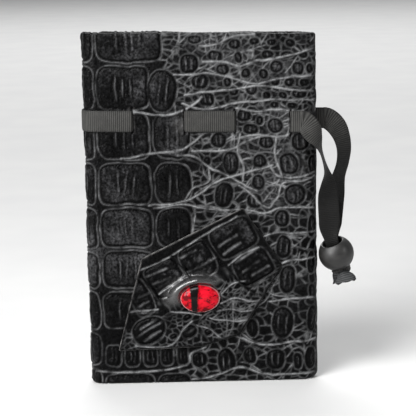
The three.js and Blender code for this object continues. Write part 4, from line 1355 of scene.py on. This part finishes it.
def eye_angle(angles):
    """The ellipse's own angle in each direction seen from the eye's middle."""
    return np.arctan2(np.sin(angles) * EYE_HALF_WIDTH, np.cos(angles) * EYE_HALF_HEIGHT)


PUPIL_X = EYE[0] - 2.65
PUPIL_HALF_WIDTH = 1.6
# The glass's straight edge, from its flat back to where the dome starts.
GIRDLE = 1.2


def pupil_share(x, z):
    """1 in the slit pupil: left of the middle, and narrower towards the bottom."""
    half = PUPIL_HALF_WIDTH + 0.4 * (z - EYE[2]) / EYE_HALF_HEIGHT
    return 1 - smoothstep(np.abs(x - PUPIL_X), half - 0.16, half + 0.16)


def add_eye(iris_material, glass_material):
    """The painted iris and the glass cabochon over it."""
    turns = np.linspace(0, 2 * np.pi, 144, endpoint=False)

    def disc(name, rings, material, node):
        """rings are share of the half width, then y, from the back's middle to the front's."""
        shares, depths = np.array(rings).T
        x = EYE[0] + EYE_HALF_WIDTH * shares[:, None] * np.cos(turns)[None]
        z = EYE[2] + EYE_HALF_HEIGHT * shares[:, None] * np.sin(turns)[None]
        y = np.broadcast_to(depths[:, None], x.shape)
        # A painted highlight round the glass's edge, stronger low on the right, where it catches the light.
        lower = smoothstep(-np.sin(turns - 0.4)[None], -0.2, 0.8)
        pale = smoothstep(shares[:, None], 0.93, 0.96) * (0.35 + 0.65 * lower)
        pupil = pupil_share(x, z) * (1 - smoothstep(shares[:, None], 0.95, 0.98))
        faces = grid_faces(len(rings), turns.size, wrap_columns=True)
        values = {"pupil": pupil, "pale": pale + 0 * x}
        piece = add_mesh(name, np.stack([x, y, z], -1), faces, material, values, merge=True)
        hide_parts(node)
        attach(piece, "front_panel")

    back, front = EYE_HIGH[1], EYE_LOW[1]
    girdle = back - GIRDLE
    rings = [(0, back), (0.5, back), (0.96, back), (0.995, back - 0.12), (1, back - 0.3), (1, girdle)]
    for angle in np.linspace(0, np.pi / 2, 26)[1:]:
        rings.append((abs(math.cos(angle)), girdle + (front - girdle) * math.sin(angle)))
    rings[-1] = (0, front)
    disc("glass_dome", rings, glass_material, "eye_glass")
    low, high = (corner[1] for corner in box_mm("eye_iris"))
    rings = [(0, high), (0.5, high), (0.95, high), (0.96, high - 0.1), (0.96, low + 0.1), (0.94, low)]
    rings += [(share, low) for share in np.linspace(0.88, 0, 12)]
    disc("iris_disc", rings, iris_material, "eye_iris")


# --- Assembly ---

add_camera()
add_studio()

ribbon = ribbon_look("ribbon", (0.002, 0.002, 0.002), (0.060, 0.059, 0.056))
tail_ribbon = ribbon_look("ribbon_cut", (0.008, 0.008, 0.008), (0.075, 0.078, 0.08))
front_cord, back_cord, turn = add_strands(ribbon)
add_stitches(ribbon)
bead = add_bead(bead_look())
add_knot(ribbon)
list(add_tails(tail_ribbon))

leather = leather_look()
hide = hide_relief()
leather_half("panel_front", "leather_front", -1, hide, leather)
leather_half("panel_back", "leather_back", 1, hide, leather)
add_lining(lining_look())
add_patch(leather)
glass = {"Roughness": 0.2, "Specular IOR Level": 0.06, "Coat Weight": 0.14, "Coat Roughness": 0.03}
add_eye(iris_look("iris", {"Roughness": 0.4}), iris_look("glass", glass))

thread = thread_look()
for node in ("side_seam_thread", "bottom_seam_thread"):
    stitching = frame["nodes"][node]
    stitching.data.materials.clear()
    stitching.data.materials.append(thread)
